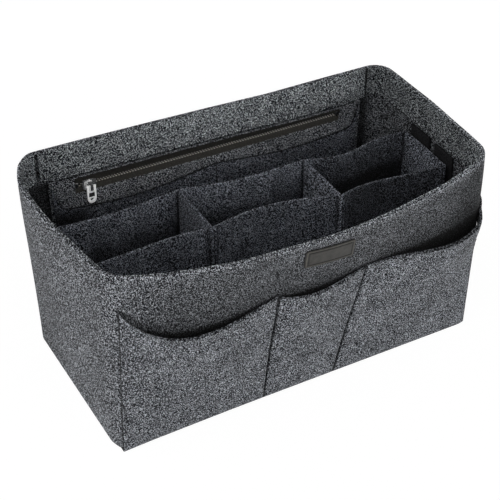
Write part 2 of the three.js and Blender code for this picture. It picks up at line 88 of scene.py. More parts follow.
# Slip pockets on the rear wall
SLIP_SIDE_MARGIN = 3.0
SLIP_SEAM_X = 3.0
SLIP_SEAM_DROP = 6.0
SLIP_END_DROP = 8.0
SLIP_END_RISE = 19.0
SLIP_END_RUN = 16.0
SLIP_END_POWER = 4
SLIP_STANDOFF = 0.8
SLIP_DIPS = (4.8, 3.2)

# Pocket panel on the front: the panel's left edge, its two seams and the turns of its right end
# at the foot and at the mouths, and each pocket's mouth
POCKET_EDGES = (147.0, 144.8)
POCKET_LEFT_SEAM = (-36.0, -34.0)
POCKET_RIGHT_SEAM = (22.5, 35.5)
POCKET_END_TURNS = (math.radians(24), math.radians(76))
POCKET_END_HEIGHTS = (70.0, 104.0)
POCKET_TOP_INSETS = (27.0, 47.2, 47.0, 43.0)
POCKET_DIPS = (21.0, 3.6, 4.5)
POCKET_STANDOFFS = (9.0, 6.5, 15.0)
POCKET_FILL_POWER = 1.6
MOUTH_SKEW_SHARES = (0.72, 0.7, 1.55)

# Label patch
LABEL_WIDTH = 40.0
LABEL_HEIGHT = 19.0
LABEL_THICKNESS = 1.2
LABEL_X = 1.0
LABEL_TOP_INSET = 8.2
LABEL_TILT = math.radians(-5.4)
LABEL_LEAN = math.radians(4.0)
LABEL_CORNER = 2.6

# Hook and loop strips
STRIP_SPACE = 7.0
LOOP_THICKNESS = 1.8
LOOP_TOP_MARGIN = 3.5
LOOP_HEIGHT = 55.0
LOOP_SHIFT = 4.0
HOOK_THICKNESS = 1.2
HOOK_TOP_INSET = 3.0
HOOK_HEIGHT = 50.0

# Divider insert
DIVIDER_TOP_INSET = 35.2
DIVIDER_WIDTH = 55.0
DIVIDER_MIDDLE_Y = 1.8
DIVIDER_SKEW = 15.0
DIVIDER_SKEW_SHARES = (0.5, 0.44, -0.25, -0.5)
DIVIDER_SAG = 1.2
CROSS_WALL_X = (-44.5, 55.3)
CELL_BOW = 11.0
REAR_BOW_SHARES = (-0.23, -0.28, -0.3)
REAR_WAVE_SHARES = (0.0, 0.0, -0.3)
FRONT_BOW_SHARES = (0.35, 1.0, 0.44)
FRONT_WAVE_SHARES = (-0.1, 0.0, 0.15)

# How fine the modelled sheets are, and how round their cut edges
FELT_STEP = 3.2
FINE_STEP = 0.8
STITCH_STEP = 1.0
EDGE_ROUND = 0.5
EDGE_STEPS = 2

# The felt's slight waviness on the front and the ends: each wave's length, share and phase
SWAY = 0.7
SWAY_WAVES = ((94.0, 0.6, 0.4), (57.0, 0.4, 2.1))

# How the rim rises, sags and tucks in, and how the foot lifts. Tables say how far at a place,
# and shares of the half length or depth say where a tuck begins and is full
REAR_RIM_RISES = ((-150, 1.0), (-100, 1.1), (-50, 0.7), (0, 0.0), (50, -1.1), (100, -0.1), (150, 0.5))
FOOT_RISES = ((-150, 0.0), (-125, 1.0), (-60, 1.7), (0, 1.4), (60, 0.9), (150, 0.2))
FOOT_POWER = 10
FOOT_SHARES = (0.9, 1.0)
RIM_POWER = 8
FRONT_RIM_SAG = 2.4
FRONT_SAG_POWER = 4
FRONT_CORNER_TUCK = 1.8
FRONT_CORNER_SHARES = (0.7, 0.95)
LEFT_RIM_TUCK = 2.0
LEFT_TUCK_SHARES = (-0.5, 0.2)
LEFT_RIM_BULGE = 1.1
LEFT_BULGE_MIDDLE_SHARE = -0.55
LEFT_BULGE_WIDTH_SHARE = 0.3
RIGHT_RIM_TUCK = 1.8
RIGHT_TUCK_SHARES = (0.35, 0.95)
REAR_CORNER_TUCK = 3.6
REAR_CORNER_SHARES = ((0.5, 1.0), (0.92, 1.0))

# Sizes that follow from the ones above
HALF_LENGTH = CASE_LENGTH / 2
HALF_DEPTH = CASE_DEPTH / 2
CORNER_ARC = CORNER_RADIUS * math.pi / 2
LONG_HALF = HALF_LENGTH - CORNER_RADIUS
SHORT_SIDE = CASE_DEPTH - 2 * CORNER_RADIUS
OUTLINE_HALF = 2 * LONG_HALF + 2 * CORNER_ARC + SHORT_SIDE
LINING_INSET = BAND_THICKNESS + GAP
FACING_BOTTOM = CASE_HEIGHT - FACING_HEIGHT
FACING_SEAM_X = LONG_HALF - FACING_SEAM_INSET
FACING_HALF = FACING_SEAM_X - FACING_GAP / 2
WRAP_END = OUTLINE_HALF - FACING_SEAM_X - FACING_GAP / 2
ZIP_PANEL_HALF = FACING_SEAM_X - ZIP_PANEL_MARGIN
ZIP_PANEL_TOP = FACING_BOTTOM + ZIP_PANEL_TUCK
FACING_RAMP_FOOT = ZIP_PANEL_TOP + FACING_RAMP_MARGIN
FLOOR_TOP = BASE_THICKNESS + GAP
STRIP_WIDTH = (DIVIDER_WIDTH - STRIP_SPACE) / 2
COIL_BACK = BAND_THICKNESS + SLIDER_GAP + SLIDER_REAR_PLATE + GAP
COIL_FRONT = COIL_BACK + COIL_THICKNESS
TAPE_BACK = COIL_BACK + (COIL_THICKNESS - TAPE_THICKNESS) / 2
TAPE_FRONT = TAPE_BACK + TAPE_THICKNESS
POUCH_DEPTH = TAPE_FRONT + GAP - LINING_INSET
SLOT_LEFT = POUCH_RAMP + TAPE_COVER + SLOT_LEFT_MARGIN - ZIP_PANEL_HALF
SLOT_RIGHT = ZIP_PANEL_HALF - POUCH_RAMP - TAPE_COVER - SLOT_RIGHT_MARGIN
SLOT_TOP = FACING_BOTTOM - SLOT_TOP_MARGIN
SLOT_BOTTOM = SLOT_TOP - SLOT_HEIGHT
ZIP_HEIGHT = (SLOT_TOP + SLOT_BOTTOM) / 2
SLIP_HALF_WIDTH = ZIP_PANEL_HALF - SLIP_SIDE_MARGIN
POCKET_TOPS = tuple(CASE_HEIGHT - inset for inset in POCKET_TOP_INSETS)
DIVIDER_TOP = CASE_HEIGHT - DIVIDER_TOP_INSET
HOOK_INSET = LINING_INSET + LOOP_THICKNESS + GAP
END_PANEL_INSET = HOOK_INSET + HOOK_THICKNESS + GAP
LONG_WALL_INSET = END_PANEL_INSET + DIVIDER_THICKNESS + GAP


def lerp(a, b, t):
    return a + (b - a) * t


def rising(x, low, high):
    """0 up to low and 1 from high on, with a smooth step between them."""
    t = np.clip((x - low) / (high - low), 0, 1)
    return t * t * (3 - 2 * t)


def falling(x, low, high):
    return 1 - rising(x, low, high)


def bell(x, width):
    return np.exp(-((x / width) ** 2))


def by_table(x, table):
    """A value at x from a table of places and values."""
    return np.interp(x, *zip(*table))


def points(x, y, z):
    return np.stack(np.broadcast_arrays(x, y, z), axis=-1).astype(float)


def steps(start, end, step):
    """Evenly spaced values from start to end, no further apart than step."""
    return np.linspace(start, end, max(1, math.ceil(abs(end - start) / step)) + 1)


def merged_steps(stops, step):
    """Evenly spaced values between stops, with every stop among them."""
    stops = sorted(set(stops))
    runs = [steps(a, b, step)[:-1] for a, b in zip(stops, stops[1:])]
    return np.concatenate([*runs, [stops[-1]]])


def split(column):
    """A column's pocket or cell, numbered from 0 to 2, and its share of the way across."""
    whole = np.minimum(np.floor(column), 2).astype(int)
    return whole, column - whole


def station_pair(stations, whole):
    """The stations at the left and the right of a pocket or cell."""
    return [np.take_along_axis(stations, whole[None] + k, 0)[0] for k in (0, 1)]


# The soft walls


def sway(place, rise):
    """The felt's slight waviness at a place along a wall."""
    waves = sum(share * np.sin(2 * np.pi * place / length + phase) for length, share, phase in SWAY_WAVES)
    return SWAY * rise * waves


def soft_wall(x, y, z):
    """Moves a point of the straight-sided case to where the soft wall stands."""
    rise = z / CASE_HEIGHT
    bow_rise = rise**BOW_RISE_POWER
    near_rim = rise**RIM_POWER
    along = np.clip(x / HALF_LENGTH, -1, 1)
    across = np.clip(y / HALF_DEPTH, -1, 1)
    off_sides, off_ends = 1 - across**2, 1 - along**2
    end_bow = np.where(x < 0, LEFT_BOW * (1 + LEFT_BOW_SKEW_SHARE * across), RIGHT_BOW)
    lean = np.where(y < 0, FRONT_LEAN, lerp(*REAR_LEANS, (along + 1) / 2))
    side_bow = np.where(y < 0, FRONT_BOW, 0)
    left_tuck = LEFT_RIM_TUCK * off_sides * rising(across, *LEFT_TUCK_SHARES)
    left_tuck = left_tuck - LEFT_RIM_BULGE * bell(across - LEFT_BULGE_MIDDLE_SHARE, LEFT_BULGE_WIDTH_SHARE)
    rear_corner = rising(across, *REAR_CORNER_SHARES[0]) * rising(-along, *REAR_CORNER_SHARES[1])
    left_tuck = left_tuck + REAR_CORNER_TUCK * rear_corner
    right_tuck = RIGHT_RIM_TUCK * rising(-across, *RIGHT_TUCK_SHARES)
    front_tuck = FRONT_CORNER_TUCK * rising(-along, *FRONT_CORNER_SHARES) * (y < 0)
    end_tuck = np.where(x < 0, left_tuck, right_tuck)
    out_x = (end_bow * bow_rise + sway(y, rise)) * off_sides - near_rim * end_tuck
    out_y = lean * rise + (side_bow * bow_rise + sway(x, rise) * (y < 0)) * off_ends - near_rim * front_tuck
    rear_rise = by_table(x, REAR_RIM_RISES) * rising(across, 0, 1)
    front_sag = FRONT_RIM_SAG * (1 - along**FRONT_SAG_POWER) * rising(-across, 0, 1)
    foot_rise = by_table(x, FOOT_RISES) * rising(-across, *FOOT_SHARES) * (1 - rise) ** FOOT_POWER
    return points(
        x + np.sin(along * np.pi / 2) * out_x,
        y + np.sin(across * np.pi / 2) * out_y,
        z + (rear_rise - front_sag) * near_rim + foot_rise,
    )


def outline_at(distance):
    """Place and outward normal on the outline, by distance from the middle of the front."""
    side = np.where(distance < 0, -1.0, 1.0)
    rest = np.abs(distance)
    first_arc_end = LONG_HALF + CORNER_ARC
    second_arc_start = first_arc_end + SHORT_SIDE
    arcs = (LONG_HALF, second_arc_start)
    first, second = (np.clip((rest - arc) / CORNER_RADIUS, 0, np.pi / 2) for arc in arcs)
    front_run = np.minimum(rest, LONG_HALF)
    end_run = np.clip(rest - first_arc_end, 0, SHORT_SIDE)
    rear_run = np.maximum(rest - second_arc_start - CORNER_ARC, 0)
    x = front_run + CORNER_RADIUS * (np.sin(first) + np.cos(second) - 1) - rear_run
    y = CORNER_RADIUS * (1 - np.cos(first) + np.sin(second)) + end_run - HALF_DEPTH
    turn = first + second
    return side * x, y, side * np.sin(turn), -np.cos(turn)


def outline_stops(start, end):
    """Where the outline's arcs begin and end between start and end."""
    ends = np.cumsum([LONG_HALF, CORNER_ARC, SHORT_SIDE, CORNER_ARC])
    return [start, *(value for value in (*ends, *-ends) if start < value < end), end]


def wall_point(distance, z, inset):
    x, y, normal_x, normal_y = outline_at(distance)
    return soft_wall(x - normal_x * inset, y - normal_y * inset, z)


def rear_point(x, z, inset):
    return soft_wall(x, HALF_DEPTH - inset, z)


def front_point(x, z, inset):
    return soft_wall(x, inset - HALF_DEPTH, z)


def end_point(side, y, z, inset):
    wall = soft_wall(side * (HALF_LENGTH - inset) + 0 * z, y, z)
    return points(wall[..., 0], y, z)


# Meshes

# The mesh attribute that holds painted light and shade, as shares of a colour
SHADE = "shade"
SHARP_ANGLE = math.radians(38)


@contextmanager
def edited(mesh):
    """Opens a mesh for changes and writes them back."""
    build = bmesh.new()
    build.from_mesh(mesh)
    yield build
    build.to_mesh(mesh)
    build.free()


def add_object(name, data):
    item = bpy.data.objects.new(name, data)
    bpy.context.scene.collection.objects.link(item)
    return item


def add_piece(name, mesh, finish, body, node):
    """A piece that rides on a body and may stand for a node. A finish is a material and its slot."""
    material, slot_name = finish
    mesh.materials.clear()
    mesh.materials.append(material)
    piece = add_object(name, mesh)
    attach(piece, body)
    if node:
        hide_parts(node)
    return piece


def make_object(name, node, finish, vertices, faces, body="case"):
    mesh = bpy.data.meshes.new(name)
    mesh.from_pydata((np.asarray(vertices) * MM).tolist(), [], faces)
    mesh.validate()
    with edited(mesh) as build:
        bmesh.ops.recalc_face_normals(build, faces=build.faces)
    mesh.shade_smooth()
    return add_piece(name, mesh, finish, body, node)


def keep_shade(mesh, shares):
    """Keeps on the mesh its painted light and shade: how much lighter or darker its colour is, as a share.
    """
    mesh.attributes.new(SHADE, "FLOAT", "POINT").data.foreach_set("value", np.asarray(shares, np.float32))


def round_edges(piece, width=EDGE_ROUND, segments=EDGE_STEPS, angle=SHARP_ANGLE):
    """Rounds a piece's sharp edges."""
    with edited(piece.data) as build:
        sharp = [e for e in build.edges if len(e.link_faces) == 2 and e.calc_face_angle() > angle]
        bmesh.ops.bevel(
            build, geom=sharp, offset=width * MM, segments=segments, profile=0.5,
            affect="EDGES", clamp_overlap=True,
        )
    piece.data.shade_smooth()


def sheet_faces(solid, ring):
    """Faces of a closed sheet's solid cells. Corners are numbered by column, row and side."""
    across, down = solid.shape
    columns = across + (not ring)

    def corner(i, j, side):
        return ((i % columns) * (down + 1) + j) * 2 + side

    def filled(i, j):
        if ring:
            i %= across
        return 0 <= i < across and 0 <= j < down and solid[i, j]

    faces = []
    for i, j in np.argwhere(solid).tolist():
        corners = [(i, j), (i + 1, j), (i + 1, j + 1), (i, j + 1)]
        faces.append([corner(*p, 1) for p in corners])
        faces.append([corner(*p, 0) for p in reversed(corners)])
        neighbours = [(i, j - 1), (i + 1, j), (i, j + 1), (i - 1, j)]
        for p, q, neighbour in zip(corners, corners[1:] + corners[:1], neighbours):
            if not filled(*neighbour):
                faces.append([corner(*p, 0), corner(*q, 0), corner(*q, 1), corner(*p, 1)])
    return faces


def make_sheet(name, node, finish, columns, rows, place, shade=None, body="case", ring=False, hole=None):
    """A closed sheet with rounded cut edges. place(u, v, side) gives its two skins.

    shade(u, v, side) gives the painted light and shade that keep_shade keeps, and hole says which cells are
    open.
    """
    u, v = np.meshgrid(columns, rows, indexing="ij")
    solid = np.ones((len(columns) - (not ring), len(rows) - 1), bool)
    if hole is not None:
        solid &= ~hole
    used, corners = np.unique(sheet_faces(solid, ring), return_inverse=True)

    def both_skins(values):
        return np.stack([values(u, v, side) for side in (0.0, 1.0)], axis=2)

    vertices = both_skins(place).reshape(-1, 3)[used]
    piece = make_object(name, node, finish, vertices, corners.reshape(-1, 4).tolist(), body)
    if shade is not None:
        keep_shade(piece.data, both_skins(shade).reshape(-1)[used])
    round_edges(piece)


# Materials


def is_socket(value):
    return isinstance(value, bpy.types.NodeSocket)


def set_inputs(node, inputs):
    """Sets a node's inputs, and links those whose value is another node's output."""
    for key, value in inputs.items():
        if is_socket(value):
            node.id_data.links.new(value, node.inputs[key])
        else:
            node.inputs[key].default_value = value


def add_node(kind, inputs, **properties):
    """A node in the tree that its linked inputs belong to."""
    tree = next(value.id_data for value in inputs.values() if is_socket(value))
    node = tree.nodes.new(kind)
    for key, value in properties.items():
        setattr(node, key, value)
    set_inputs(node, inputs)
    return node


def noise(vector, size, detail=3.0, turn=(0, 0, 0), stretch=1.0):
    """Noise whose grains are size millimetres wide, and stretched along a turned axis."""
    grain = size * MM
    inputs = {"Vector": vector, "Rotation": turn, "Scale": (grain * stretch, grain, grain)}
    mapping = add_node("ShaderNodeMapping", inputs, vector_type="TEXTURE")
    inputs = {"Vector": mapping.outputs[0], "Scale": 1.0, "Detail": detail, "Roughness": 0.6}
    return add_node("ShaderNodeTexNoise", inputs).outputs["Fac"]


def pebbles(vector, size):
    """Distance to the nearest of points that lie about size millimetres apart."""
    inputs = {"Vector": vector, "Scale": 1 / (size * MM)}
    return add_node("ShaderNodeTexVoronoi", inputs).outputs["Distance"]


def ribs(vector, pitch, distortion, axis):
    """Waves along an axis, which wander a little."""
    inputs = {"Vector": vector, "Scale": 1 / (pitch * MM), "Distortion": distortion, "Detail": 1.0}
    return add_node("ShaderNodeTexWave", inputs, bands_direction=axis).outputs["Fac"]


def math_node(operation, first, second):
    return add_node("ShaderNodeMath", {0: first, 1: second}, operation=operation).outputs[0]


def ramp(value, *stops):
    """Colours by value. Each stop is a position and a grey or a colour."""
    node = add_node("ShaderNodeValToRGB", {"Fac": value})
    elements = node.color_ramp.elements
    while len(elements) < len(stops):
        elements.new(0.5)
    for element, (position, colour) in zip(elements, stops):
        element.position = position
        element.color = (*np.broadcast_to(colour, 3), 1)
    return node.outputs["Color"]


def bump(height, distance, strength, **inputs):
    inputs |= {"Height": height, "Distance": distance * MM, "Strength": strength}
    return add_node("ShaderNodeBump", inputs).outputs["Normal"]


def shaded(colour):
    """A colour made lighter or darker by the painted light and shade kept on the mesh."""
    share = colour.id_data.nodes.new("ShaderNodeAttribute")
    share.attribute_name = SHADE
    inputs = {0: colour, "Scale": math_node("ADD", share.outputs["Fac"], 1.0)}
    return add_node("ShaderNodeVectorMath", inputs, operation="SCALE").outputs[0]


def new_finish(name, slot, look, *values):
    """A material and the slot that it belongs to. look gives its shader's inputs."""
    material = bpy.data.materials.new(name)
    material.use_nodes = True
    nodes = material.node_tree.nodes
    inputs = look(nodes.new("ShaderNodeTexCoord").outputs["Object"], *values)
    set_inputs(nodes["Principled BSDF"], inputs)
    return material, slot


FIBRE_TURNS = ((0.4, 0.2, 0.5), (1.2, 0.7, -0.6), (0.1, 1.1, 1.7), (0.8, -0.9, 2.6))
CLUMP_SHARE = 0.5
MOTTLE_SHARE = 0.05
END_GRAIN = 0.5
FELT_GREYS = (
    (0.465, (0.001, 0.001, 0.002)),
    (0.503, (0.024, 0.026, 0.029)),
    (0.527, (0.118, 0.124, 0.134)),
    (0.562, (0.76, 0.78, 0.80)),
)


def felt(place, *tone):
    """Charcoal melange felt: dark and light fibres laid every way, matted into clumps."""
    place = add_node("ShaderNodeMapping", {"Vector": place, "Scale": (1, END_GRAIN, 1)}).outputs[0]
    fibres = 0.0
    for turn in FIBRE_TURNS:
        fibre = noise(place, size=0.4, detail=1.0, turn=turn, stretch=4.0)
        fibres = math_node("ADD", fibres, math_node("DIVIDE", fibre, float(len(FIBRE_TURNS))))
    clumps = noise(place, size=0.7, detail=1.0)
    mixed = {"Factor": CLUMP_SHARE, "A": fibres, "B": clumps}
    melange = add_node("ShaderNodeMix", mixed).outputs["Result"]
    mottle = math_node("SUBTRACT", noise(place, size=17.0, detail=2.0), 0.5)
    lifted = math_node("ADD", melange, math_node("MULTIPLY", mottle, MOTTLE_SHARE))
    toned = [(position, np.minimum(1.0, np.multiply(tone, colour))) for position, colour in FELT_GREYS]
    pile = bump(melange, distance=0.7, strength=0.6)
    hollows = bump(noise(place, size=5.0), distance=0.6, strength=0.3, Normal=pile)
    return {
        "Base Color": shaded(ramp(lifted, *toned)), "Normal": hollows, "Roughness": 0.95,
        "Sheen Weight": 0.1, "Sheen Roughness": 0.5, "Specular IOR Level": 0.15,
    }


def thread(place):
    """Grey sewing thread, twisted along its length."""
    twist = noise(place, size=0.3, detail=1.0)
    colour = ramp(twist, (0.3, (0.05, 0.051, 0.055)), (0.7, (0.15, 0.153, 0.16)))
    normal = bump(twist, distance=0.2, strength=0.5)
    return {"Base Color": colour, "Normal": normal, "Roughness": 0.7, "Specular IOR Level": 0.3}


def tape(place):
    """Black zipper tape, woven in fine ribs along the zip."""
    weft = ribs(place, pitch=2.2, distortion=0.6, axis="X")
    warp = ribs(place, pitch=3.4, distortion=0.4, axis="Z")
    weave = math_node("MULTIPLY", weft, warp)
    fuzz = math_node("MULTIPLY", math_node("ADD", weave, noise(place, size=0.8)), 0.7)
    colour = shaded(ramp(fuzz, (0.35, (0.013, 0.0125, 0.011)), (1.3, (0.080, 0.076, 0.067))))
    normal = bump(weave, distance=0.25, strength=0.6)
    return {"Base Color": colour, "Normal": normal, "Roughness": 0.75, "Specular IOR Level": 0.3}


def coil(place):
    """Pale, glossy zipper teeth."""
    wear = noise(place, size=2.5, detail=2.0)
    colour = ramp(wear, (0.35, (0.62, 0.60, 0.55)), (0.65, (0.95, 0.92, 0.86)))
    return {"Base Color": colour, "Roughness": 0.32, "Metallic": 0.2}


def metal(place, metallic, tone):
    """Polished, silver-coloured zip metal with faint handling marks."""
    marks = noise(place, size=1.8, detail=4.0)
    return {
        "Base Color": shaded(ramp(marks, (0.3, 0.8 * tone), (0.7, tone))),
        "Roughness": ramp(marks, (0.35, 0.14), (0.7, 0.3)),
        "Normal": bump(noise(place, size=0.7, detail=2.0), distance=0.05, strength=0.3),
        "Metallic": metallic, "Specular IOR Level": 0.8,
    }


def leather(place):
    """Dark brown-grey leather with a fine pebbled grain."""
    patches = noise(place, size=4.0, detail=4.0)
    colour = ramp(patches, (0.3, (0.019, 0.0175, 0.0145)), (0.7, (0.043, 0.040, 0.034)))
    wrinkles = bump(patches, distance=0.2, strength=0.3)
    grain = bump(pebbles(place, size=0.7), distance=0.12, strength=0.5, Normal=wrinkles)
    return {"Base Color": shaded(colour), "Normal": grain, "Roughness": 0.5, "Specular IOR Level": 0.4}


def hook_and_loop(place):
    """Black hook and loop, bristly at a fine scale."""
    bristle = pebbles(place, size=1.1)
    colour = ramp(bristle, (0.1, (0.028, 0.028, 0.030)), (0.6, (0.006, 0.006, 0.007)))
    normal = bump(bristle, distance=0.7, strength=0.8)
    return {"Base Color": colour, "Normal": normal, "Roughness": 0.85, "Specular IOR Level": 0.25}


FELT = new_finish("felt", "felt", felt, 0.97, 0.985, 1.03)
# The inner felt is a darker copy of the felt, as painted shade. The facing felt and the pocket felt are
# lighter copies of it, as painted light
SHADED_INNER_FELT = new_finish("shaded_inner_felt", "felt", felt, 0.78, 0.81, 0.91)
LIT_FACING_FELT = new_finish("lit_facing_felt", "felt", felt, 1.20, 1.25, 1.35)
LIT_POCKET_FELT = new_finish("pocket_felt", "felt", felt, 0.98, 1.00, 1.05)
THREAD = new_finish("thread", "felt", thread)
TAPE = new_finish("zip_tape", "zip_tape", tape)
COIL = new_finish("zip_coil", "zip_coil", coil)
METAL = new_finish("zip_metal", "zip_metal", metal, 0.85, 1.0)
PULL_METAL = new_finish("zip_pull_metal", "zip_metal", metal, 0.1, 1.0)
# The stops' metal is a darker copy of the zip metal: painted shade
SHADED_STOP_METAL = new_finish("shaded_zip_stop_metal", "zip_metal", metal, 1.0, 0.4)
LEATHER = new_finish("label_leather", "label_leather", leather)
FASTENER = new_finish("hook_and_loop", "hook_and_loop", hook_and_loop)


# The front pockets' outline, which the band behind them follows too


def pocket_edge(z):
    """How far to the left the pocket panel reaches: past the band's round corner."""
    return lerp(*POCKET_EDGES, z / POCKET_TOPS[0])


def pocket_seams(z):
    """Where the pocket panel's edges and seams run at a height."""
    lean = z / POCKET_TOPS[2]
    turn = lerp(*POCKET_END_TURNS, rising(z, *POCKET_END_HEIGHTS))
    right_end = LONG_HALF + CORNER_RADIUS * turn
    seams = [lerp(*seam, lean) for seam in (POCKET_LEFT_SEAM, POCKET_RIGHT_SEAM)]
    return np.stack([-pocket_edge(z), *seams, right_end])


POCKET_WIDTHS = np.diff(pocket_seams(np.array(POCKET_TOPS[2])))


def pocket_mouth(pocket, t):
    """How far a pocket's mouth hangs open, as a share, and its height."""
    hang = np.sin(np.pi * t ** np.take(MOUTH_SKEW_SHARES, pocket))
    top = lerp(np.take(POCKET_TOPS, pocket), np.take(POCKET_TOPS, pocket + 1), t)
    return hang, top - np.take(POCKET_DIPS, pocket) * hang


def mouth_height(x):
    """Height of the pockets' mouths at x."""
    pocket, t = split(np.linspace(0, 3, 121))
    seams = pocket_seams(np.array(POCKET_TOPS[2]))
    return np.interp(x, lerp(seams[pocket], seams[pocket + 1], t), pocket_mouth(pocket, t)[1])


# The band. Its felt is pulled out to the pocket panel's left edge, and creased beside it

EDGE_PULL = 4.0
EDGE_PULL_WIDTH = 3.4
EDGE_PULL_FADE = (112.0, 128.0)
EDGE_PULL_FOOT = (3.0, 14.0)
EDGE_GROOVE = 1.1
EDGE_GROOVE_WIDTH = 0.7
EDGE_COLUMNS_MIDDLE = 145.8
BASE_CORNER_STEP = math.radians(12)


def band_place(distance, z, side):
    place = wall_point(distance, z, BAND_THICKNESS * side)
    reach = -distance - pocket_edge(z)
    fade = falling(z, *EDGE_PULL_FADE) * (1 - side * falling(z, *EDGE_PULL_FOOT))
    groove = EDGE_GROOVE * bell(reach - EDGE_GROOVE_WIDTH, EDGE_GROOVE_WIDTH) * (1 - side)
    place[..., 1] -= fade * (EDGE_PULL * bell(reach, EDGE_PULL_WIDTH) - groove)
    return place


# Shades are painted light and shade, as shares of the colour: below 0 darker, above 0 lighter. A pair
# after a shade's name says between which places or heights it comes in or fades
DARKEST = -0.93
FRONT_DARKEST = -0.94
FRONT_START = (-1.5, 0.5)
FRONT_ENDS = ((-2.0, 8.0), (-0.5, 22.0))
MOUTH_SHADES = ((-5, FRONT_DARKEST), (-2.5, -0.84), (0, -0.6), (8, -0.51), (20, -0.44), (36, -0.37))
MOUTH_FADE_START = 6.0
MOUTH_FADE_MARGIN = 10.0
MOUTH_LEFT_SHARE = 0.3
MOUTH_LEFT_PLACES = (-140.0, -105.0)
PINCH_SHADE = -0.5
PINCH_REACHES = (0.5, 4.0)
FAR_SHADE = 0.3
FAR_PLACES = (85.0, 135.0)
LEFT_END_SHADE = 0.2
LEFT_END_PLACES = (205.0, 270.0)
CORNER_SHADE = 0.85
CORNER_REACHES = (30.0, 13.0)
CORNER_CORE_SHARE = 0.4
CORNER_FADE = 4.0
RIGHT_WALL_SHADE = 0.4
RIM_LIGHT = 0.3
RIM_LIGHT_HEIGHT = 0.9
RIM_REACHES = (40.0, 10.0)
RIM_ROWS = (CASE_HEIGHT - 2 * RIM_LIGHT_HEIGHT, CASE_HEIGHT - RIM_LIGHT_HEIGHT, CASE_HEIGHT)


def rim_light(z):
    """The cut felt at the rim is painted lighter: a painted highlight."""
    return RIM_LIGHT * rising(z, *RIM_ROWS[:2])


def front_shade(distance, z):
    """Painted shade on the front: darker over the pockets' mouths, behind the pockets and to the right."""
    height = z - mouth_height(distance)
    _, *seams, pocket_end = pocket_seams(z)
    ends = [np.where(height < 0, pocket_end + low, LONG_HALF + high) for low, high in FRONT_ENDS]
    front = rising(distance + pocket_edge(z), *FRONT_START) * falling(distance, *ends)
    reach = np.min([np.abs(distance - x) for _, x in (POCKET_LEFT_SEAM, POCKET_RIGHT_SEAM)], axis=0)
    pinch = lerp(PINCH_SHADE, FRONT_DARKEST, rising(reach, *PINCH_REACHES))
    fade = falling(z, CASE_HEIGHT - MOUTH_FADE_MARGIN, CASE_HEIGHT)
    fade = fade * lerp(MOUTH_LEFT_SHARE, 1, rising(distance, *MOUTH_LEFT_PLACES))
    over = np.maximum(by_table(height, MOUTH_SHADES), pinch) * np.where(height < MOUTH_FADE_START, 1, fade)
    return np.maximum(front * (over - FAR_SHADE * rising(distance, *FAR_PLACES)), FRONT_DARKEST)


def band_shade(distance, z, side):
    """Painted shade on the band's outside and, inside, in the dark rear corners and on the right end, with
    the rim's painted highlight.
    """
    reach = np.abs(distance)
    outside = front_shade(distance, z) - LEFT_END_SHADE * rising(-distance, *LEFT_END_PLACES)
    panel_end = OUTLINE_HALF - ZIP_PANEL_HALF
    width = np.where(distance < 0, *CORNER_REACHES)
    corner = rising(reach, panel_end - width, panel_end - CORNER_CORE_SHARE * width)
    corner = corner * falling(z, FACING_BOTTOM - CORNER_FADE, FACING_BOTTOM)
    inside = -np.maximum(CORNER_SHADE * corner, RIGHT_WALL_SHADE * (distance > LONG_HALF))
    near = falling(reach, *(panel_end - end for end in RIM_REACHES))
    return np.where(z > RIM_ROWS[0], rim_light(z) * near, lerp(outside, inside, side))


def make_outer_band():
    beside_edge = np.arange(-3, 4) * EDGE_GROOVE_WIDTH + EDGE_COLUMNS_MIDDLE
    columns = merged_steps([*outline_stops(-OUTLINE_HALF, OUTLINE_HALF), *-beside_edge], FELT_STEP)[1:]
    rows = merged_steps([0, *RIM_ROWS], FELT_STEP / 2)
    make_sheet("band_felt", "outer_band", FELT, columns, rows, band_place, band_shade, ring=True)


def make_base():
    """The base felt lies inside the band's lower edge."""
    radius = CORNER_RADIUS - BAND_THICKNESS
    quarter = steps(0, math.pi / 2, BASE_CORNER_STEP)
    outline = []
    for turn, (sx, sy) in enumerate([(1, 1), (-1, 1), (-1, -1), (1, -1)]):
        x, y = sx * LONG_HALF, sy * (HALF_DEPTH - CORNER_RADIUS)
        angles = quarter + turn * math.pi / 2
        outline += [(x + radius * math.cos(a), y + radius * math.sin(a)) for a in angles]
    count = len(outline)
    vertices = [(x, y, z) for z in (0.0, BASE_THICKNESS) for x, y in outline]
    faces = [list(range(count - 1, -1, -1)), list(range(count, 2 * count))]
    faces += [[i, (i + 1) % count, count + (i + 1) % count, count + i] for i in range(count)]
    round_edges(make_object("base_felt", "base_panel", FELT, vertices, faces))


# The facings and the panels on the rear wall

FACING_CURL = 0.9
FACING_CURL_HEIGHT = 2.6
CURL_ROWS = [FACING_BOTTOM + share * FACING_CURL_HEIGHT for share in (0, 0.15, 0.3, 0.6, 1)]
EDGE_LIFTS = ((-85, 2.3), (20, 1.4), (75, 0.0))
EDGE_LIFT_MARGIN = 6.0
EDGE_REACHES = (0, 0.4, 0.8)
EDGE_SHADE = 0.8
EDGE_SHADE_WIDTH = 0.7
EDGE_CORE_SHARE = 0.5
FACING_DARKEST = -0.95
REAR_SHADES = ((-130.0, -0.22), (-60.0, -0.12), (0.0, 0.0), (60.0, 0.0), (135.0, -0.26))
WRAP_SHADES = ((-200, -0.2), (-150, -0.12), (140, 0.0), (175, -0.45), (240, -0.43), (270, -0.43))
WRAP_RIM_REACH = 20.0
PANEL_LIP = 1.3
PANEL_LIP_TOP = FACING_BOTTOM - 1.5
PANEL_LIP_EDGE = 0.6
PANEL_LEFT_INSET = 2.6
PANEL_INSET_PLACES = (110.0, 131.0)
PANEL_TOP_SHADE = -0.9
PANEL_TOP_REACHES = (-0.3, 0.2)
SLIP_MOUTH_FLARE = 2.2
SLIP_FLARE_POWER = 12
SLIP_ROW_SHARES = (0, 0.98, 0.992, 1)
SLIP_LIP_SHADE = -0.9
SLIP_LIP_REACHES = (-0.9, -0.4)
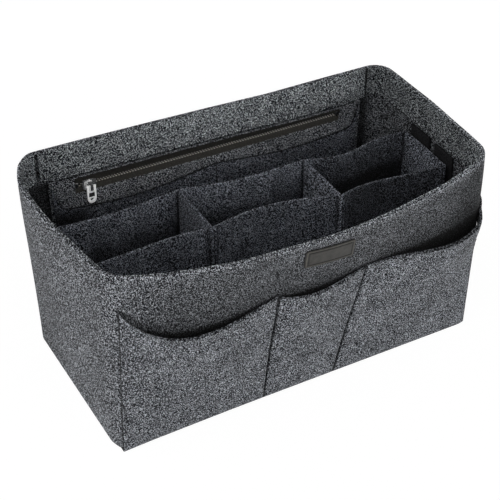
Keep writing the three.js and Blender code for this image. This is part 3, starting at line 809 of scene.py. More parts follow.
LOW_SHADES = ((96.0, -0.88), (102.0, -0.75), (108.0, 0.0))
LOW_PLACES = (-112.0, -84.0)


def painted_edge_shade(reach, width=EDGE_SHADE_WIDTH):
    """Painted shade along a seam or an edge, where shadow falls: reach is the way from it."""
    return -EDGE_SHADE * falling(reach, EDGE_CORE_SHARE * width, width)


def beside(*places):
    """Columns close beside seams, where the painted seam shade falls."""
    return [place + way * reach for place in places for way in (-1, 1) for reach in EDGE_REACHES]


def within(end):
    """Columns at both ends of a sheet, where the painted edge shade falls."""
    return [way * (end - reach) for way in (-1, 1) for reach in EDGE_REACHES]


def pouch_fill(x):
    """How full the zipped pouch is at x: nothing at its side seams."""
    return rising(ZIP_PANEL_HALF - np.abs(x), 0, POUCH_RAMP)


def zip_panel_back(x):
    return LINING_INSET + POUCH_DEPTH * pouch_fill(x)


def edge_lift(x):
    """How far the rear facing's lower edge rises towards the left."""
    return by_table(x, EDGE_LIFTS)


def facing_curl(z):
    """How far a facing's lower edge curls away from the wall."""
    return FACING_CURL * falling(z, FACING_BOTTOM, FACING_BOTTOM + FACING_CURL_HEIGHT)


def rear_facing_place(x, z, side):
    curl = facing_curl(z)
    z = z + edge_lift(x) * falling(z, FACING_BOTTOM, CASE_HEIGHT - EDGE_LIFT_MARGIN)
    ramp_share = np.clip((CASE_HEIGHT - z) / (CASE_HEIGHT - FACING_RAMP_FOOT), 0, 1)
    back = LINING_INSET + ramp_share * (LINING_THICKNESS + GAP + POUCH_DEPTH * pouch_fill(x))
    return rear_point(x, z, back + curl + LINING_THICKNESS * side)


def wrap_facing_place(distance, z, side):
    return wall_point(distance, z, LINING_INSET + facing_curl(z) + LINING_THICKNESS * side)


# Painted shade: dark along a facing's ends and lower edge, and darker towards the case's ends
def rear_facing_shade(x, z, side, end=FACING_HALF, shades=REAR_SHADES):
    seams = painted_edge_shade(end - np.abs(x)) + painted_edge_shade(z - FACING_BOTTOM)
    return np.maximum(seams + by_table(x, shades), FACING_DARKEST)


# The wrap facing also gets the rim's painted highlight
def wrap_facing_shade(distance, z, side):
    top = rim_light(z) * falling(np.abs(distance), LONG_HALF, LONG_HALF + WRAP_RIM_REACH)
    return rear_facing_shade(distance, z, side, WRAP_END, WRAP_SHADES) + top


def make_facings():
    columns = merged_steps(within(FACING_HALF), FELT_STEP)
    rows = merged_steps([*CURL_ROWS, ZIP_PANEL_TOP, FACING_RAMP_FOOT, *RIM_ROWS], FELT_STEP)
    make_sheet(
        "facing_rear_felt", "facing_rear", LIT_FACING_FELT, columns, rows, rear_facing_place, rear_facing_shade
    )
    columns = merged_steps([*outline_stops(-WRAP_END, WRAP_END), *within(WRAP_END)], FELT_STEP)
    rows = merged_steps([*CURL_ROWS, *RIM_ROWS], FELT_STEP)
    make_sheet(
        "facing_wrap_felt", "facing_wrap", LIT_FACING_FELT, columns, rows, wrap_facing_place, wrap_facing_shade
    )


def inset_left(x):
    """The zipped panel's left side seam lies further in than its right one."""
    return x + PANEL_LEFT_INSET * rising(-x, *PANEL_INSET_PLACES)


def zip_panel_place(x, z, side):
    """The panel stands proud above its slot, and dips under the facing's edge."""
    lip = PANEL_LIP * falling(z, PANEL_LIP_TOP, PANEL_LIP_TOP + PANEL_LIP_EDGE)
    lip = lip * rising(z, SLOT_BOTTOM, SLOT_TOP) * pouch_fill(x)
    z = z + edge_lift(x) * rising(z, ZIP_HEIGHT, SLOT_TOP) * falling(z, PANEL_LIP_TOP, ZIP_PANEL_TOP)
    return rear_point(inset_left(x), z, zip_panel_back(x) + lip + LINING_THICKNESS * side)


# Painted shadow under the facing's edge, and painted shade along the panel's sides
def zip_panel_shade(x, z, side):
    under = PANEL_TOP_SHADE * rising(z - PANEL_LIP_TOP, *PANEL_TOP_REACHES)
    return np.maximum(under + painted_edge_shade(ZIP_PANEL_HALF - np.abs(x)), DARKEST)


def make_zip_panel():
    """The zipped panel, with its slot left open."""
    columns = merged_steps([*within(ZIP_PANEL_HALF), SLOT_LEFT, SLOT_RIGHT], FELT_STEP)
    lip_rows = [PANEL_LIP_TOP + PANEL_LIP_EDGE * share for share in (-1, 0, 0.5, 1)]
    rows = merged_steps([FLOOR_TOP, SLOT_BOTTOM, SLOT_TOP, *lip_rows, ZIP_PANEL_TOP], FELT_STEP)
    in_slot_x = (columns[:-1] > SLOT_LEFT - GAP) & (columns[1:] < SLOT_RIGHT + GAP)
    in_slot_z = (rows[:-1] > SLOT_BOTTOM - GAP) & (rows[1:] < SLOT_TOP + GAP)
    hole = in_slot_x[:, None] & in_slot_z[None, :]
    names = ("zip_panel_felt", "zip_panel")
    make_sheet(*names, FELT, columns, rows, zip_panel_place, zip_panel_shade, hole=hole)


def slip_mouth(x):
    """Height of the slip pockets' mouth at x, and how far it stands off the panel."""
    right = x >= SLIP_SEAM_X
    end = np.where(right, SLIP_HALF_WIDTH, -SLIP_HALF_WIDTH)
    t = (x - end) / (SLIP_SEAM_X - end)
    arch = np.sin(np.pi * t)
    near_end = np.clip(1 - (SLIP_HALF_WIDTH - np.abs(x)) / SLIP_END_RUN, 0, 1)
    drop = lerp(SLIP_END_DROP, SLIP_SEAM_DROP, t) + np.take(SLIP_DIPS, right.astype(int)) * arch
    height = SLOT_BOTTOM - drop + SLIP_END_RISE * near_end**SLIP_END_POWER
    return height, SLIP_STANDOFF * arch**2


def slip_place(x, share, side):
    height, standoff = slip_mouth(x)
    standoff = standoff * (share + SLIP_MOUTH_FLARE * share**SLIP_FLARE_POWER)
    back = zip_panel_back(x) + LINING_THICKNESS + GAP + standoff
    return rear_point(inset_left(x), lerp(FLOOR_TOP, height, share), back + LINING_THICKNESS * side)


def slip_shade(x, share, side):
    """Painted shade on the slip pockets: dark in the case's left corner, at the seam and at the mouth."""
    height, _ = slip_mouth(x)
    low = by_table(share * height, LOW_SHADES) * falling(x, *LOW_PLACES)
    lip = SLIP_LIP_SHADE * rising(share * height - height, *SLIP_LIP_REACHES)
    return np.maximum(low + painted_edge_shade(np.abs(x - SLIP_SEAM_X)) + lip, DARKEST)


def make_slip_pockets():
    inner = SLIP_HALF_WIDTH - SLIP_END_RUN
    ends = steps(inner, SLIP_HALF_WIDTH, FELT_STEP / 2)
    middle = merged_steps([-inner, *beside(SLIP_SEAM_X), inner], FELT_STEP)
    columns = np.concatenate([-ends[::-1][:-1], middle, ends[1:]])
    rows = merged_steps(SLIP_ROW_SHARES, FELT_STEP / SLOT_BOTTOM)
    make_sheet("slip_pocket_felt", "slip_pocket_panel", SHADED_INNER_FELT, columns, rows, slip_place, slip_shade)


# The front pockets: a column is a pocket's number plus a share of its width

CREASE_LIFT = 3.0
CREASE_LEFT_WIDTHS = (4.0, 1.8, 0.7)
CREASE_RIGHT_WIDTHS = (0.5, 0.7, 40.0)
MOUTH_CREASE_SHARE = 0.35
MOUTH_CREASE_START_SHARE = 0.8
SEAM_FLAT = 0.45
SEAM_REACHES = (0, 0.45, 0.7, 1.1, 1.7, 2.6, 4.5)
POCKET_ROW_SHARES = (0, 0.01, 0.02, 0.04, 0.95, 0.97, 0.985, 0.994, 1)
HEM_WIDTH = 4.0
STANDOFF_FADE = (LONG_HALF - 3, LONG_HALF + 10)
MOUTH_HEM = 2.0
MOUTH_HEM_SHARE = 0.06
MOUTH_HEM_LIMIT_SHARE = 0.6
CORNER_FILL = 3.0
CORNER_FILL_PLACES = (-LONG_HALF, 8 - LONG_HALF)
FOOT_FILL_HEIGHTS = (0.5, 3.0)
LEFT_SEAM_SHADE_WIDTHS = (0.8, 1.9, 1.5)
RIGHT_SEAM_SHADE_WIDTH = 0.9
LEFT_EDGE_MARGIN = 0.38
POCKET_INSIDE_SHADE = -0.6
POCKET_INSIDE_TOP_SHARE = 0.99
CUT_SHADE = -0.5
CUT_SHARE = 0.995
CUT_COLUMNS = (2.2, 2.6)


def crease(pocket, from_left, from_right):
    """How far the felt rises from the sharp creases at the seams beside a pocket."""
    rise = CREASE_LIFT
    for reach, widths in ((from_left, CREASE_LEFT_WIDTHS), (from_right, CREASE_RIGHT_WIDTHS)):
        rise = rise * (1 - np.exp(-np.maximum(reach - SEAM_FLAT, 0) / np.take(widths, pocket)))
    return rise


def pocket_place(column, share, side):
    pocket, t = split(column)
    hang, mouth = pocket_mouth(pocket, t)
    z = share * mouth
    left, right = station_pair(pocket_seams(z), pocket)
    x = lerp(left, right, t)
    rise = crease(pocket, x - left, right - x) * (1 - np.exp(-z / HEM_WIDTH))
    rise = rise * lerp(1, MOUTH_CREASE_SHARE, rising(share, MOUTH_CREASE_START_SHARE, 1))
    standoff = np.take(POCKET_STANDOFFS, pocket) * hang * share**POCKET_FILL_POWER
    standoff = standoff * falling(x, *STANDOFF_FADE)
    hem = np.minimum(MOUTH_HEM, MOUTH_HEM_LIMIT_SHARE * standoff) * rising(share, 1 - MOUTH_HEM_SHARE, 1)
    closed = (2 * GAP + CORNER_FILL * falling(x, *CORNER_FILL_PLACES)) * falling(z, *FOOT_FILL_HEIGHTS)
    out = GAP + standoff + rise + LINING_THICKNESS * side - (hem + closed) * (1 - side)
    return np.where((x < 0)[..., None], front_point(x, z, -out), wall_point(x, z, -out))


def pocket_shade(column, share, side):
    """Painted shade along the seams and the left side edge, inside, and on the right mouth's cut."""
    pocket, t = split(column)
    width = np.take(POCKET_WIDTHS, pocket)
    left = painted_edge_shade(t * width + LEFT_EDGE_MARGIN * (pocket == 0), np.take(LEFT_SEAM_SHADE_WIDTHS, pocket))
    right = painted_edge_shade((1 - t) * width, RIGHT_SEAM_SHADE_WIDTH) * (pocket < 2)
    inside = POCKET_INSIDE_SHADE * (1 - side) * (share < POCKET_INSIDE_TOP_SHARE)
    cut = CUT_SHADE * (share > CUT_SHARE) * rising(column, *CUT_COLUMNS)
    return np.maximum(np.minimum(left, right) + inside + cut, DARKEST)


def make_front_pockets():
    columns = []
    for pocket, width in enumerate(POCKET_WIDTHS):
        near = [reach / width for reach in SEAM_REACHES]
        stops = [*near, *(1 - share for share in near)]
        columns.append(pocket + merged_steps(stops, FELT_STEP / width)[(1 if pocket else 0):])
    make_sheet(
        "front_pocket_felt", "front_pocket_panel", LIT_POCKET_FELT, np.concatenate(columns),
        merged_steps(POCKET_ROW_SHARES, FELT_STEP / POCKET_TOPS[0]), pocket_place, pocket_shade,
    )


# The divider insert: a long wall's column is a cell's number plus a share of its length. Wall is
# 1 at the rear and -1 in front, and a cross wall is held in a pinched fold of the front wall

CELL_LENGTHS = np.diff([-HALF_LENGTH, *CROSS_WALL_X, HALF_LENGTH])
RIDGE_HEIGHT = 2.6
RIDGE_HALF_WIDTH = 2.1
RIDGE_EDGE = 0.7
RIDGE_GROOVE = 0.8
JUNCTION_SHADE = 0.9
JUNCTION_INSET = 0.6
JUNCTION_REACHES = (0.5, 1.5)
FOLD_SHADE = 0.65
GROOVE_REACHES = (0.2, 0.6)
FOLD_FOOT_REACHES = (-0.3, 0.0, 0.6, 1.4)
FOLD_LIGHT = 0.35
FOLD_LIGHT_REACHES = (0.5, 0.9)
FOLD_LIGHT_ENDS = (-0.6, -0.2)
THIRD_CELL_SHADES = (-0.55, -0.5)
THIRD_CELL_REACHES = ((1.0, 9.0), (0.0, 8.0))
CELL_SHADES = ((70.0, -0.85), (90.0, -0.5), (101.0, 0.0), (118.0, 0.2))


def station_y(station):
    return DIVIDER_MIDDLE_Y + DIVIDER_SKEW * np.take(DIVIDER_SKEW_SHARES, station)


def long_wall_middle(wall, column, z):
    """A point on a long wall's middle surface."""
    cell, t = split(column)
    bows = REAR_BOW_SHARES if wall > 0 else FRONT_BOW_SHARES
    waves = REAR_WAVE_SHARES if wall > 0 else FRONT_WAVE_SHARES
    bend = np.take(bows, cell) * np.sin(np.pi * t) + np.take(waves, cell) * np.sin(2 * np.pi * t)
    half = wall * (DIVIDER_WIDTH - DIVIDER_THICKNESS) / 2
    y = lerp(station_y(cell), station_y(cell + 1), t) + half + CELL_BOW * bend
    left, right = (end_point(end, y, z, LONG_WALL_INSET)[..., 0] for end in (-1, 1))
    stations = np.stack(np.broadcast_arrays(left, *CROSS_WALL_X, right))
    return points(lerp(*station_pair(stations, cell), t), y, z)


def ridge(distance):
    """The pinched fold that holds a cross wall: two layers side by side."""
    body = falling(np.abs(distance), RIDGE_HALF_WIDTH - RIDGE_EDGE, RIDGE_HALF_WIDTH)
    return body * (RIDGE_HEIGHT - RIDGE_GROOVE * bell(distance, RIDGE_EDGE / 2))


def long_wall_place(wall, column, share, side):
    _, t = split(column)
    z = FLOOR_TOP + share * (DIVIDER_TOP - FLOOR_TOP - DIVIDER_SAG * np.sin(np.pi * t) ** 2)
    middle = long_wall_middle(wall, column, z)
    x, y = middle[..., 0], middle[..., 1]
    out = (side - 0.5) * DIVIDER_THICKNESS
    if wall < 0 and side == 0:
        ends = [end_point(end, y, z, LONG_WALL_INSET)[..., 0] - end * RIDGE_HALF_WIDTH for end in (-1, 1)]
        out = out - sum(ridge(place - x) for place in (*CROSS_WALL_X, *ends))
    return points(x, y + out, z)


def long_wall_shade(wall, column, share, side):
    """Painted shade where a cross wall meets the wall, along the folds' grooves, in the third cell and low
    in the cells, with painted highlights on the folds' ridges.
    """
    z = FLOOR_TOP + share * (DIVIDER_TOP - FLOOR_TOP)
    x = long_wall_middle(wall, column, z)[..., 0]
    third = THIRD_CELL_SHADES[wall > 0] * rising(x - CROSS_WALL_X[1], *THIRD_CELL_REACHES[wall > 0])
    if wall > 0:
        last = end_point(1, 0 * z, z, LONG_WALL_INSET)[..., 0]
        lefts = [*(place - DIVIDER_THICKNESS / 2 for place in CROSS_WALL_X), last]
        lines = sum(falling(np.abs(x - left + JUNCTION_INSET), *JUNCTION_REACHES) for left in lefts)
        shade = third + by_table(z, CELL_SHADES) - JUNCTION_SHADE * lines
    else:
        reach = np.min([np.abs(x - place) for place in CROSS_WALL_X], axis=0)
        from_side = reach - RIDGE_HALF_WIDTH
        foot = rising(from_side, *FOLD_FOOT_REACHES[:2]) * falling(from_side, *FOLD_FOOT_REACHES[2:])
        light = FOLD_LIGHT * rising(reach, *FOLD_LIGHT_REACHES) * falling(from_side, *FOLD_LIGHT_ENDS)
        shade = third - FOLD_SHADE * (falling(reach, *GROOVE_REACHES) + foot) + light
    return np.maximum(shade * (1 - side), DARKEST)


def make_long_wall(word, wall):
    reaches = [RIDGE_EDGE * share for share in (0, 0.25, 0.5)]
    reaches += [RIDGE_HALF_WIDTH + RIDGE_EDGE * share for share in (-1, -0.5, 0, 1)]
    columns = [0.0, 3.0]
    for junction in (1, 2):
        columns += [junction - reach / CELL_LENGTHS[junction - 1] for reach in reaches]
        columns += [junction + reach / CELL_LENGTHS[junction] for reach in reaches]
    make_sheet(
        f"divider_{word}_felt", f"divider_{word}_wall", SHADED_INNER_FELT,
        merged_steps(columns, FELT_STEP / min(CELL_LENGTHS)), steps(0, 1, FELT_STEP / DIVIDER_TOP),
        partial(long_wall_place, wall), partial(long_wall_shade, wall), body="divider_insert",
    )


def make_cross_wall(word, station):
    """Each end of a cross wall follows the long wall that it meets."""
    clear = DIVIDER_THICKNESS / 2 + GAP

    def place(across, z, side):
        ends = [long_wall_middle(wall, np.full_like(z, float(station)), z)[..., 1] for wall in (-1, 1)]
        y = lerp(ends[0] + clear, ends[1] - clear, (across + 1) / 2)
        return points(CROSS_WALL_X[station - 1] + (side - 0.5) * DIVIDER_THICKNESS, y, z)

    columns, rows = steps(-1, 1, 2 * FELT_STEP / DIVIDER_WIDTH), steps(FLOOR_TOP, DIVIDER_TOP, FELT_STEP)
    names = (f"divider_cross_{word}_felt", f"divider_cross_wall_{word}")
    make_sheet(*names, SHADED_INNER_FELT, columns, rows, place, body="divider_insert")


def end_sheet(names, finish, body, side, middle, width, heights, inset, thickness):
    """A flat sheet along the case's left or right end, where side is -1 or 1."""
    def place(y, z, face):
        return end_point(side, y, z, inset + thickness * face)

    columns = steps(middle - width / 2, middle + width / 2, FELT_STEP)
    make_sheet(*names, finish, columns, steps(*heights, FELT_STEP), place, body=body)


def make_end_panel(word, side, station):
    end_sheet(
        (f"divider_end_{word}_felt", f"divider_end_panel_{word}"), SHADED_INNER_FELT, "divider_insert", side,
        station_y(station), DIVIDER_WIDTH, (FLOOR_TOP, DIVIDER_TOP), END_PANEL_INSET, DIVIDER_THICKNESS,
    )


def make_strips(word, side, station):
    loop_top = FACING_BOTTOM - LOOP_TOP_MARGIN
    hook_top = DIVIDER_TOP - HOOK_TOP_INSET
    kinds = [
        ("loop", "case", LOOP_SHIFT, (loop_top - LOOP_HEIGHT, loop_top), LINING_INSET, LOOP_THICKNESS),
        ("hook", "divider_insert", 0, (hook_top - HOOK_HEIGHT, hook_top), HOOK_INSET, HOOK_THICKNESS),
    ]
    for where, way in (("front", -1), ("rear", 1)):
        middle = station_y(station) + way * (STRIP_SPACE + STRIP_WIDTH) / 2
        for kind, body, shift, *sizes in kinds:
            names = (f"{kind}_{word}_{where}", f"{kind}_strip_{word}_{where}")
            end_sheet(names, FASTENER, body, side, middle - shift, STRIP_WIDTH, *sizes)


# Thread: short stitches along a line on a sheet

STITCH_PITCH = 3.4
STITCH_LENGTH = 2.5
STITCH_WIDTH = 0.26
STITCH_PROUD = 0.14
BEAD_RINGS = 3
BEAD_SIDES = 6


def unit(vectors):
    return vectors / np.linalg.norm(vectors, axis=-1, keepdims=True)


def bead_template():
    """A small rounded bead of unit radius, long along x."""
    tilts = np.pi * np.arange(1, BEAD_RINGS + 1) / (BEAD_RINGS + 1)
    angles = np.linspace(0, 2 * np.pi, BEAD_SIDES, endpoint=False)
    circle = [(math.cos(a), math.sin(a)) for a in angles]
    rings = [(-math.cos(t), math.sin(t) * y, math.sin(t) * z) for t in tilts for y, z in circle]
    last = len(rings) + 1
    faces = []
    for k in range(BEAD_SIDES):
        n = (k + 1) % BEAD_SIDES
        faces.append([0, 1 + n, 1 + k])
        for a in range(1, last - BEAD_SIDES, BEAD_SIDES):
            b = a + BEAD_SIDES
            faces.append([a + k, a + n, b + n, b + k])
        faces.append([last, last - BEAD_SIDES + k, last - BEAD_SIDES + n])
    return np.array([(-1, 0, 0), *rings, (1, 0, 0)]), faces


def make_beads(name, node, finish, centres, along, outward, sizes, body="case"):
    """Many beads in one piece. Sizes are half the length, width and height of each."""
    template, template_faces = bead_template()
    outward = unit(outward)
    along = unit(along - outward * np.sum(along * outward, axis=1, keepdims=True))
    axes = np.stack([along, np.cross(outward, along), outward], axis=1)
    vertices = (centres[:, None] + (template * sizes) @ axes).reshape(-1, 3)
    count = len(template)
    starts = [bead * count for bead in range(len(centres))]
    faces = [[start + index for index in face] for start in starts for face in template_faces]
    make_object(name, node, finish, vertices, faces, body)


def stitch_line(place, u, v, side):
    """Centres, directions and outward normals of the stitches along a line on one skin."""
    surface, under = place(u, v, side), place(u, v, 1 - side)
    reach = np.concatenate([[0], np.cumsum(np.linalg.norm(np.diff(surface, axis=0), axis=1))])
    count = max(1, int(reach[-1] / STITCH_PITCH))
    middle = (np.arange(count) + 0.5) * reach[-1] / count

    def at(values, where):
        return np.stack([np.interp(where, reach, values[:, k]) for k in range(3)], axis=1)

    outward = unit(at(surface - under, middle))
    along = at(surface, middle + STITCH_LENGTH / 2) - at(surface, middle - STITCH_LENGTH / 2)
    return at(surface, middle) + outward * STITCH_PROUD, along, outward


def make_stitches(name, *lines, body="case", side=1.0):
    """Stitches along several lines on one skin. Each line is its place function, u and v."""
    parts = [stitch_line(place, *np.broadcast_arrays(u, v), side) for place, u, v in lines]
    sizes = (STITCH_LENGTH / 2, STITCH_WIDTH, STITCH_WIDTH)
    make_beads(name, None, THREAD, *(np.concatenate(part) for part in zip(*parts)), sizes, body)


FACING_STITCH = 2.4
SLOT_STITCH = 1.7
SLIP_STITCH = 1.6
POCKET_STITCH = 1.8
SEAM_SHARES = steps(0.02, 0.985, 0.01)


def make_case_stitches():
    low = FACING_BOTTOM + FACING_STITCH
    rear, wrap = (steps(-end, end, STITCH_STEP) for end in (FACING_SEAM_X, WRAP_END))
    make_stitches("facing_stitches", (rear_facing_place, rear, low), (wrap_facing_place, wrap, low))
    sides = SLOT_LEFT - SLOT_STITCH, SLOT_RIGHT + SLOT_STITCH
    edges = SLOT_BOTTOM - SLOT_STITCH, SLOT_TOP + SLOT_STITCH
    across, upright = steps(*sides, STITCH_STEP), steps(*edges, STITCH_STEP)
    slot = [(across, z) for z in edges] + [(x, upright) for x in sides]
    make_stitches("slot_stitches", *((zip_panel_place, *line) for line in slot))
    edge = SLIP_HALF_WIDTH - SLIP_STITCH
    make_stitches("slip_stitches", *((slip_place, x, SEAM_SHARES) for x in (-edge, SLIP_SEAM_X, edge)))
    columns = (POCKET_STITCH / POCKET_WIDTHS[0], 1.0, 2.0, 3 - POCKET_STITCH / POCKET_WIDTHS[2])
    make_stitches("pocket_seam_stitches", *((pocket_place, column, SEAM_SHARES) for column in columns))


def make_divider_stitches():
    """The stitches beside each pinched fold."""
    inset = RIDGE_HALF_WIDTH - RIDGE_EDGE / 2
    front = partial(long_wall_place, -1)
    lines = [(front, junction - inset / CELL_LENGTHS[junction - 1], SEAM_SHARES) for junction in (1, 2)]
    make_stitches("fold_stitches", *lines, body="divider_insert", side=0.0)


# The zipper

TAPE_START = 0.75
TAPE_END = SLOT_HEIGHT / 2 + (ZIP_PANEL_TUCK - GAP) / 2
TAPE_ROW_STEP = 1.2
LOWER_TAPE_LIGHT = 1.3
TOOTH_PITCH = 2.2
TOOTH_START = 0.36
TOOTH_END = 1.16
TOOTH_WIDTH = 0.6
BEAD_MIDDLE = 1.75
BEAD_RADIUS = 0.32
BEAD_ROW_SHARES = (-1.5, -1, -0.5, 0.5, 1, 1.5)
STOP_HALF_HEIGHT = 2.2
FRONT_NORMAL_LIMIT = -0.7
WINDOW_DEPTHS = (0.2, 0.5)
# The pull's colour is painted this share lighter: a painted highlight
PULL_LIGHT = 2.0
SLIDER_ROUND = 0.28
PULL_ROUND = 0.22
MERGE_DISTANCE = 0.002
FLAT_ANGLE = math.radians(1)
METAL_EDGE_STEPS = 3
METAL_SHARP_ANGLE = math.radians(30)


def track_point(x, z, depth):
    return rear_point(x, ZIP_HEIGHT + z, depth)


def make_tape(word, side):
    """Half of the tape, with a raised bead beside the teeth. The lower half is painted lighter: painted
    light.
    """
    rows = merged_steps([TAPE_START, BEAD_MIDDLE, SLOT_HEIGHT / 2, TAPE_END], TAPE_ROW_STEP)
    rows = np.union1d(rows, BEAD_MIDDLE + BEAD_RADIUS * np.array(BEAD_ROW_SHARES))
    columns = steps(SLOT_LEFT - TAPE_COVER, SLOT_RIGHT + TAPE_COVER, FELT_STEP)

    def place(x, z, face):
        front = TAPE_FRONT + BEAD_RADIUS * bell(z - BEAD_MIDDLE, BEAD_RADIUS)
        return track_point(x, side * z, lerp(TAPE_BACK, front, face))

    def shade(x, z, face):
        return LOWER_TAPE_LIGHT + 0 * x

    names = (f"tape_{word}", f"zipper_tape_{word}")
    make_sheet(*names, TAPE, columns, rows, place, shade if side < 0 else None)


def make_teeth(word, side):
    """One row of teeth, half a pitch out of step with the other row."""
    inset = GAP + STOP_LENGTH + GAP + TOOTH_WIDTH
    x = np.arange(SLOT_LEFT + inset + (side > 0) * TOOTH_PITCH / 2, SLOT_RIGHT - inset, TOOTH_PITCH)
    depth = (COIL_BACK + COIL_FRONT) / 2
    centres = track_point(x, side * (TOOTH_START + TOOTH_END) / 2 + 0 * x, depth)
    outward = track_point(x, 0 * x, depth + 1) - track_point(x, 0 * x, depth)
    along = np.tile([0.0, 0.0, 1.0], (len(x), 1))
    sizes = ((TOOTH_END - TOOTH_START) / 2, TOOTH_WIDTH, COIL_THICKNESS / 2)
    make_beads(f"teeth_{word}", f"zipper_coil_{word}", COIL, centres, along, outward, sizes)


def make_stop(word, start):
    columns = steps(start, start + STOP_LENGTH, FINE_STEP)
    rows = steps(-STOP_HALF_HEIGHT, STOP_HALF_HEIGHT, FINE_STEP)

    def place(x, z, face):
        return track_point(x, z, lerp(COIL_BACK, COIL_FRONT, face))

    make_sheet(f"stop_{word}", f"zipper_{word}_stop", SHADED_STOP_METAL, columns, rows, place)


def polished_copy(word, finish, width, light):
    """A copy of a hard part's mesh with its edges rounded. The floor of the pull's window is painted dark,
    as painted shade in the recess, and light paints the rest lighter, as a painted highlight.
    """
    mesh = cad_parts[f"zipper_{word}"].data.copy()
    with edited(mesh) as build:
        bmesh.ops.remove_doubles(build, verts=build.verts, dist=MERGE_DISTANCE * MM)
        bmesh.ops.dissolve_limit(build, angle_limit=FLAT_ANGLE, verts=build.verts, edges=build.edges)
    front = max(mesh.polygons, key=lambda face: face.area * (face.normal.y < FRONT_NORMAL_LIMIT))
    depths = np.array([(front.center - vertex.co).dot(front.normal) / MM for vertex in mesh.vertices])
    in_window = (depths > WINDOW_DEPTHS[0]) & (depths < WINDOW_DEPTHS[1])
    keep_shade(mesh, np.where(in_window, DARKEST, light))
    piece = add_piece(word, mesh, finish, f"zipper_{word}", f"zipper_{word}")
    round_edges(piece, width, METAL_EDGE_STEPS, METAL_SHARP_ANGLE)


# The label

LABEL_LINES = ((0.2, 0.7), (2.7, 0.55))
LABEL_LINE_DEPTH = 0.6
LABEL_RIM = 1.45
LABEL_RIM_WIDTH = 0.45
LABEL_RIM_LIGHT = 2.4
LABEL_STEP = 0.32


def make_label():
    """A leather patch with rounded corners and an embossed double border."""
    half_length, half_height = LABEL_WIDTH / 2, LABEL_HEIGHT / 2
    middle = CASE_HEIGHT - LABEL_TOP_INSET - half_height

    def border(half_width, across, v):
        """The way to the label's edge, and how deep the border's lines are there."""
        edge = np.minimum(half_width - np.abs(across), half_height - np.abs(v))
        return edge, sum(bell(edge - inset, width) for inset, width in LABEL_LINES)

    def place(u, v, side):
        corner = np.clip(np.abs(v) - (half_height - LABEL_CORNER), 0, LABEL_CORNER)
        half_width = half_length - LABEL_CORNER + np.sqrt(np.maximum(LABEL_CORNER**2 - corner**2, 0))
        across = u * half_width
        _, lines = border(half_width, across, v)
        proud = GAP + (LABEL_THICKNESS - LABEL_LINE_DEPTH * lines) * side
        x = LABEL_X + across * math.cos(LABEL_TILT) - v * math.sin(LABEL_LEAN)
        return front_point(x, middle + across * math.sin(LABEL_TILT) + v * math.cos(LABEL_LEAN), -proud)

    # Painted shadow along the label's edge and painted shade in the border's groove, with a painted
    # highlight on the raised rim between them
    def shade(u, v, side):
        edge, lines = border(half_length, u * half_length, v)
        return DARKEST * np.minimum(lines, 1) + LABEL_RIM_LIGHT * bell(edge - LABEL_RIM, LABEL_RIM_WIDTH)

    columns, rows = steps(-1, 1, LABEL_STEP / half_length), steps(-half_height, half_height, LABEL_STEP)
    make_sheet("label", "label_patch", LEATHER, columns, rows, place, shade)


make_outer_band()
make_base()
make_facings()
make_zip_panel()
make_slip_pockets()
make_front_pockets()
make_long_wall("rear", 1)
make_long_wall("front", -1)
make_cross_wall("left", 1)
make_cross_wall("right", 2)
make_end_panel("left", -1, 0)
make_end_panel("right", 1, 3)
make_strips("left", -1, 0)
make_strips("right", 1, 3)
for side_word, side_sign in (("upper", 1), ("lower", -1)):
    make_tape(side_word, side_sign)
    make_teeth(side_word, side_sign)
make_stop("top", SLOT_LEFT + GAP)
make_stop("bottom", SLOT_RIGHT - GAP - STOP_LENGTH)
polished_copy("slider", METAL, SLIDER_ROUND, 0.0)
polished_copy("pull", PULL_METAL, PULL_ROUND, PULL_LIGHT)
make_label()
make_case_stitches()
make_divider_stitches()


# Floor, camera and lights

AIM_POINT = Vector((13.3, 32.1, 44.9))
CAMERA_DISTANCE = 1115.3
CAMERA_AZIMUTH = math.radians(-28.85)
CAMERA_ELEVATION = math.radians(37.58)
CAMERA_REACH = 20.0
FOCAL_LENGTH = 103.9
SENSOR_WIDTH = 36.0
FLOOR_SIZE = 6000.0
FLOOR_DROP = 0.1
FLOOR_WHITE = 0.88
FLOOR_WHITE_STRENGTH = 1.09

# The sky's squared-cosine lobes: an axis, the way along it and a level
SKY = (("X", -1.0, 1.12), ("Y", -1.0, 1.12), ("X", 1.0, 0.3), ("Y", 1.0, 0.25), ("Z", 1.0, 0.15))
HORIZON_LIGHT = 0.9
HORIZON_WIDTH = 0.14


def make_camera():
    data = bpy.data.cameras.new("camera")
    data.sensor_width = SENSOR_WIDTH
    data.lens = FOCAL_LENGTH
    data.clip_end = CAMERA_REACH
    camera = add_object("camera", data)
    sight = Vector((
        -math.sin(CAMERA_AZIMUTH) * math.cos(CAMERA_ELEVATION),
        math.cos(CAMERA_AZIMUTH) * math.cos(CAMERA_ELEVATION),
        -math.sin(CAMERA_ELEVATION),
    ))
    camera.location = (AIM_POINT - sight * CAMERA_DISTANCE) * MM
    camera.rotation_euler = sight.to_track_quat("-Z", "Y").to_euler()
    bpy.context.scene.camera = camera


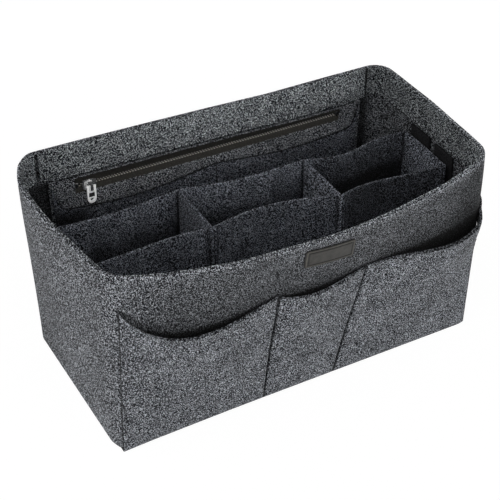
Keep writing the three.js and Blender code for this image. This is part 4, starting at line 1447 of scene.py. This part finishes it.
def camera_white(plain, share, strength=1.0):
    """Mixes a shader with plain white where the camera, gloss or glass sees it."""
    nodes = plain.id_data.nodes
    path = nodes.new("ShaderNodeLightPath").outputs
    seen = math_node("MAXIMUM", path["Is Camera Ray"], path["Is Glossy Ray"])
    seen = math_node("MAXIMUM", seen, path["Is Transmission Ray"])
    white = nodes.new("ShaderNodeEmission")
    set_inputs(white, {"Color": (1, 1, 1, 1), "Strength": strength})
    mixed = {0: math_node("MULTIPLY", seen, share), 1: plain, 2: white.outputs[0]}
    return add_node("ShaderNodeMixShader", mixed).outputs[0]


def make_floor():
    material = bpy.data.materials.new("floor")
    material.use_nodes = True
    nodes = material.node_tree.nodes
    shader = nodes["Principled BSDF"]
    set_inputs(shader, {"Base Color": (0.9, 0.9, 0.9, 1), "Roughness": 0.8})
    surface = camera_white(shader.outputs[0], FLOOR_WHITE, FLOOR_WHITE_STRENGTH)
    set_inputs(nodes["Material Output"], {"Surface": surface})
    half = FLOOR_SIZE / 2 * MM
    mesh = bpy.data.meshes.new("floor")
    corners = [(-half, -half), (half, -half), (half, half), (-half, half)]
    mesh.from_pydata([(x, y, -FLOOR_DROP * MM) for x, y in corners], [], [(0, 1, 2, 3)])
    mesh.materials.append(material)
    add_object("floor", mesh)


def make_world():
    """A soft sky, brightest in front and to the left, and along the horizon in front."""
    world = bpy.data.worlds.new("world")
    world.use_nodes = True
    nodes = world.node_tree.nodes
    sight = nodes.new("ShaderNodeTexCoord").outputs["Generated"]
    direction = add_node("ShaderNodeSeparateXYZ", {"Vector": sight}).outputs

    def lobe(axis, sign):
        facing = math_node("MAXIMUM", math_node("MULTIPLY", direction[axis], sign), 0.0)
        return math_node("MULTIPLY", facing, facing)

    height = math_node("DIVIDE", direction["Z"], HORIZON_WIDTH)
    fall = math_node("MULTIPLY", math_node("MULTIPLY", height, height), -1.0)
    horizon = math_node("MULTIPLY", math_node("POWER", math.e, fall), HORIZON_LIGHT)
    light = math_node("MULTIPLY", lobe("Y", -1.0), horizon)
    for axis, sign, level in SKY:
        light = math_node("ADD", light, math_node("MULTIPLY", lobe(axis, sign), level))
    background = nodes["Background"]
    set_inputs(background, {"Color": (1, 1, 1, 1), "Strength": light})
    set_inputs(nodes["World Output"], {"Surface": camera_white(background.outputs[0], 1.0)})
    bpy.context.scene.world = world


make_camera()
make_floor()
make_world()
bpy.context.scene.view_settings.view_transform = "Standard"
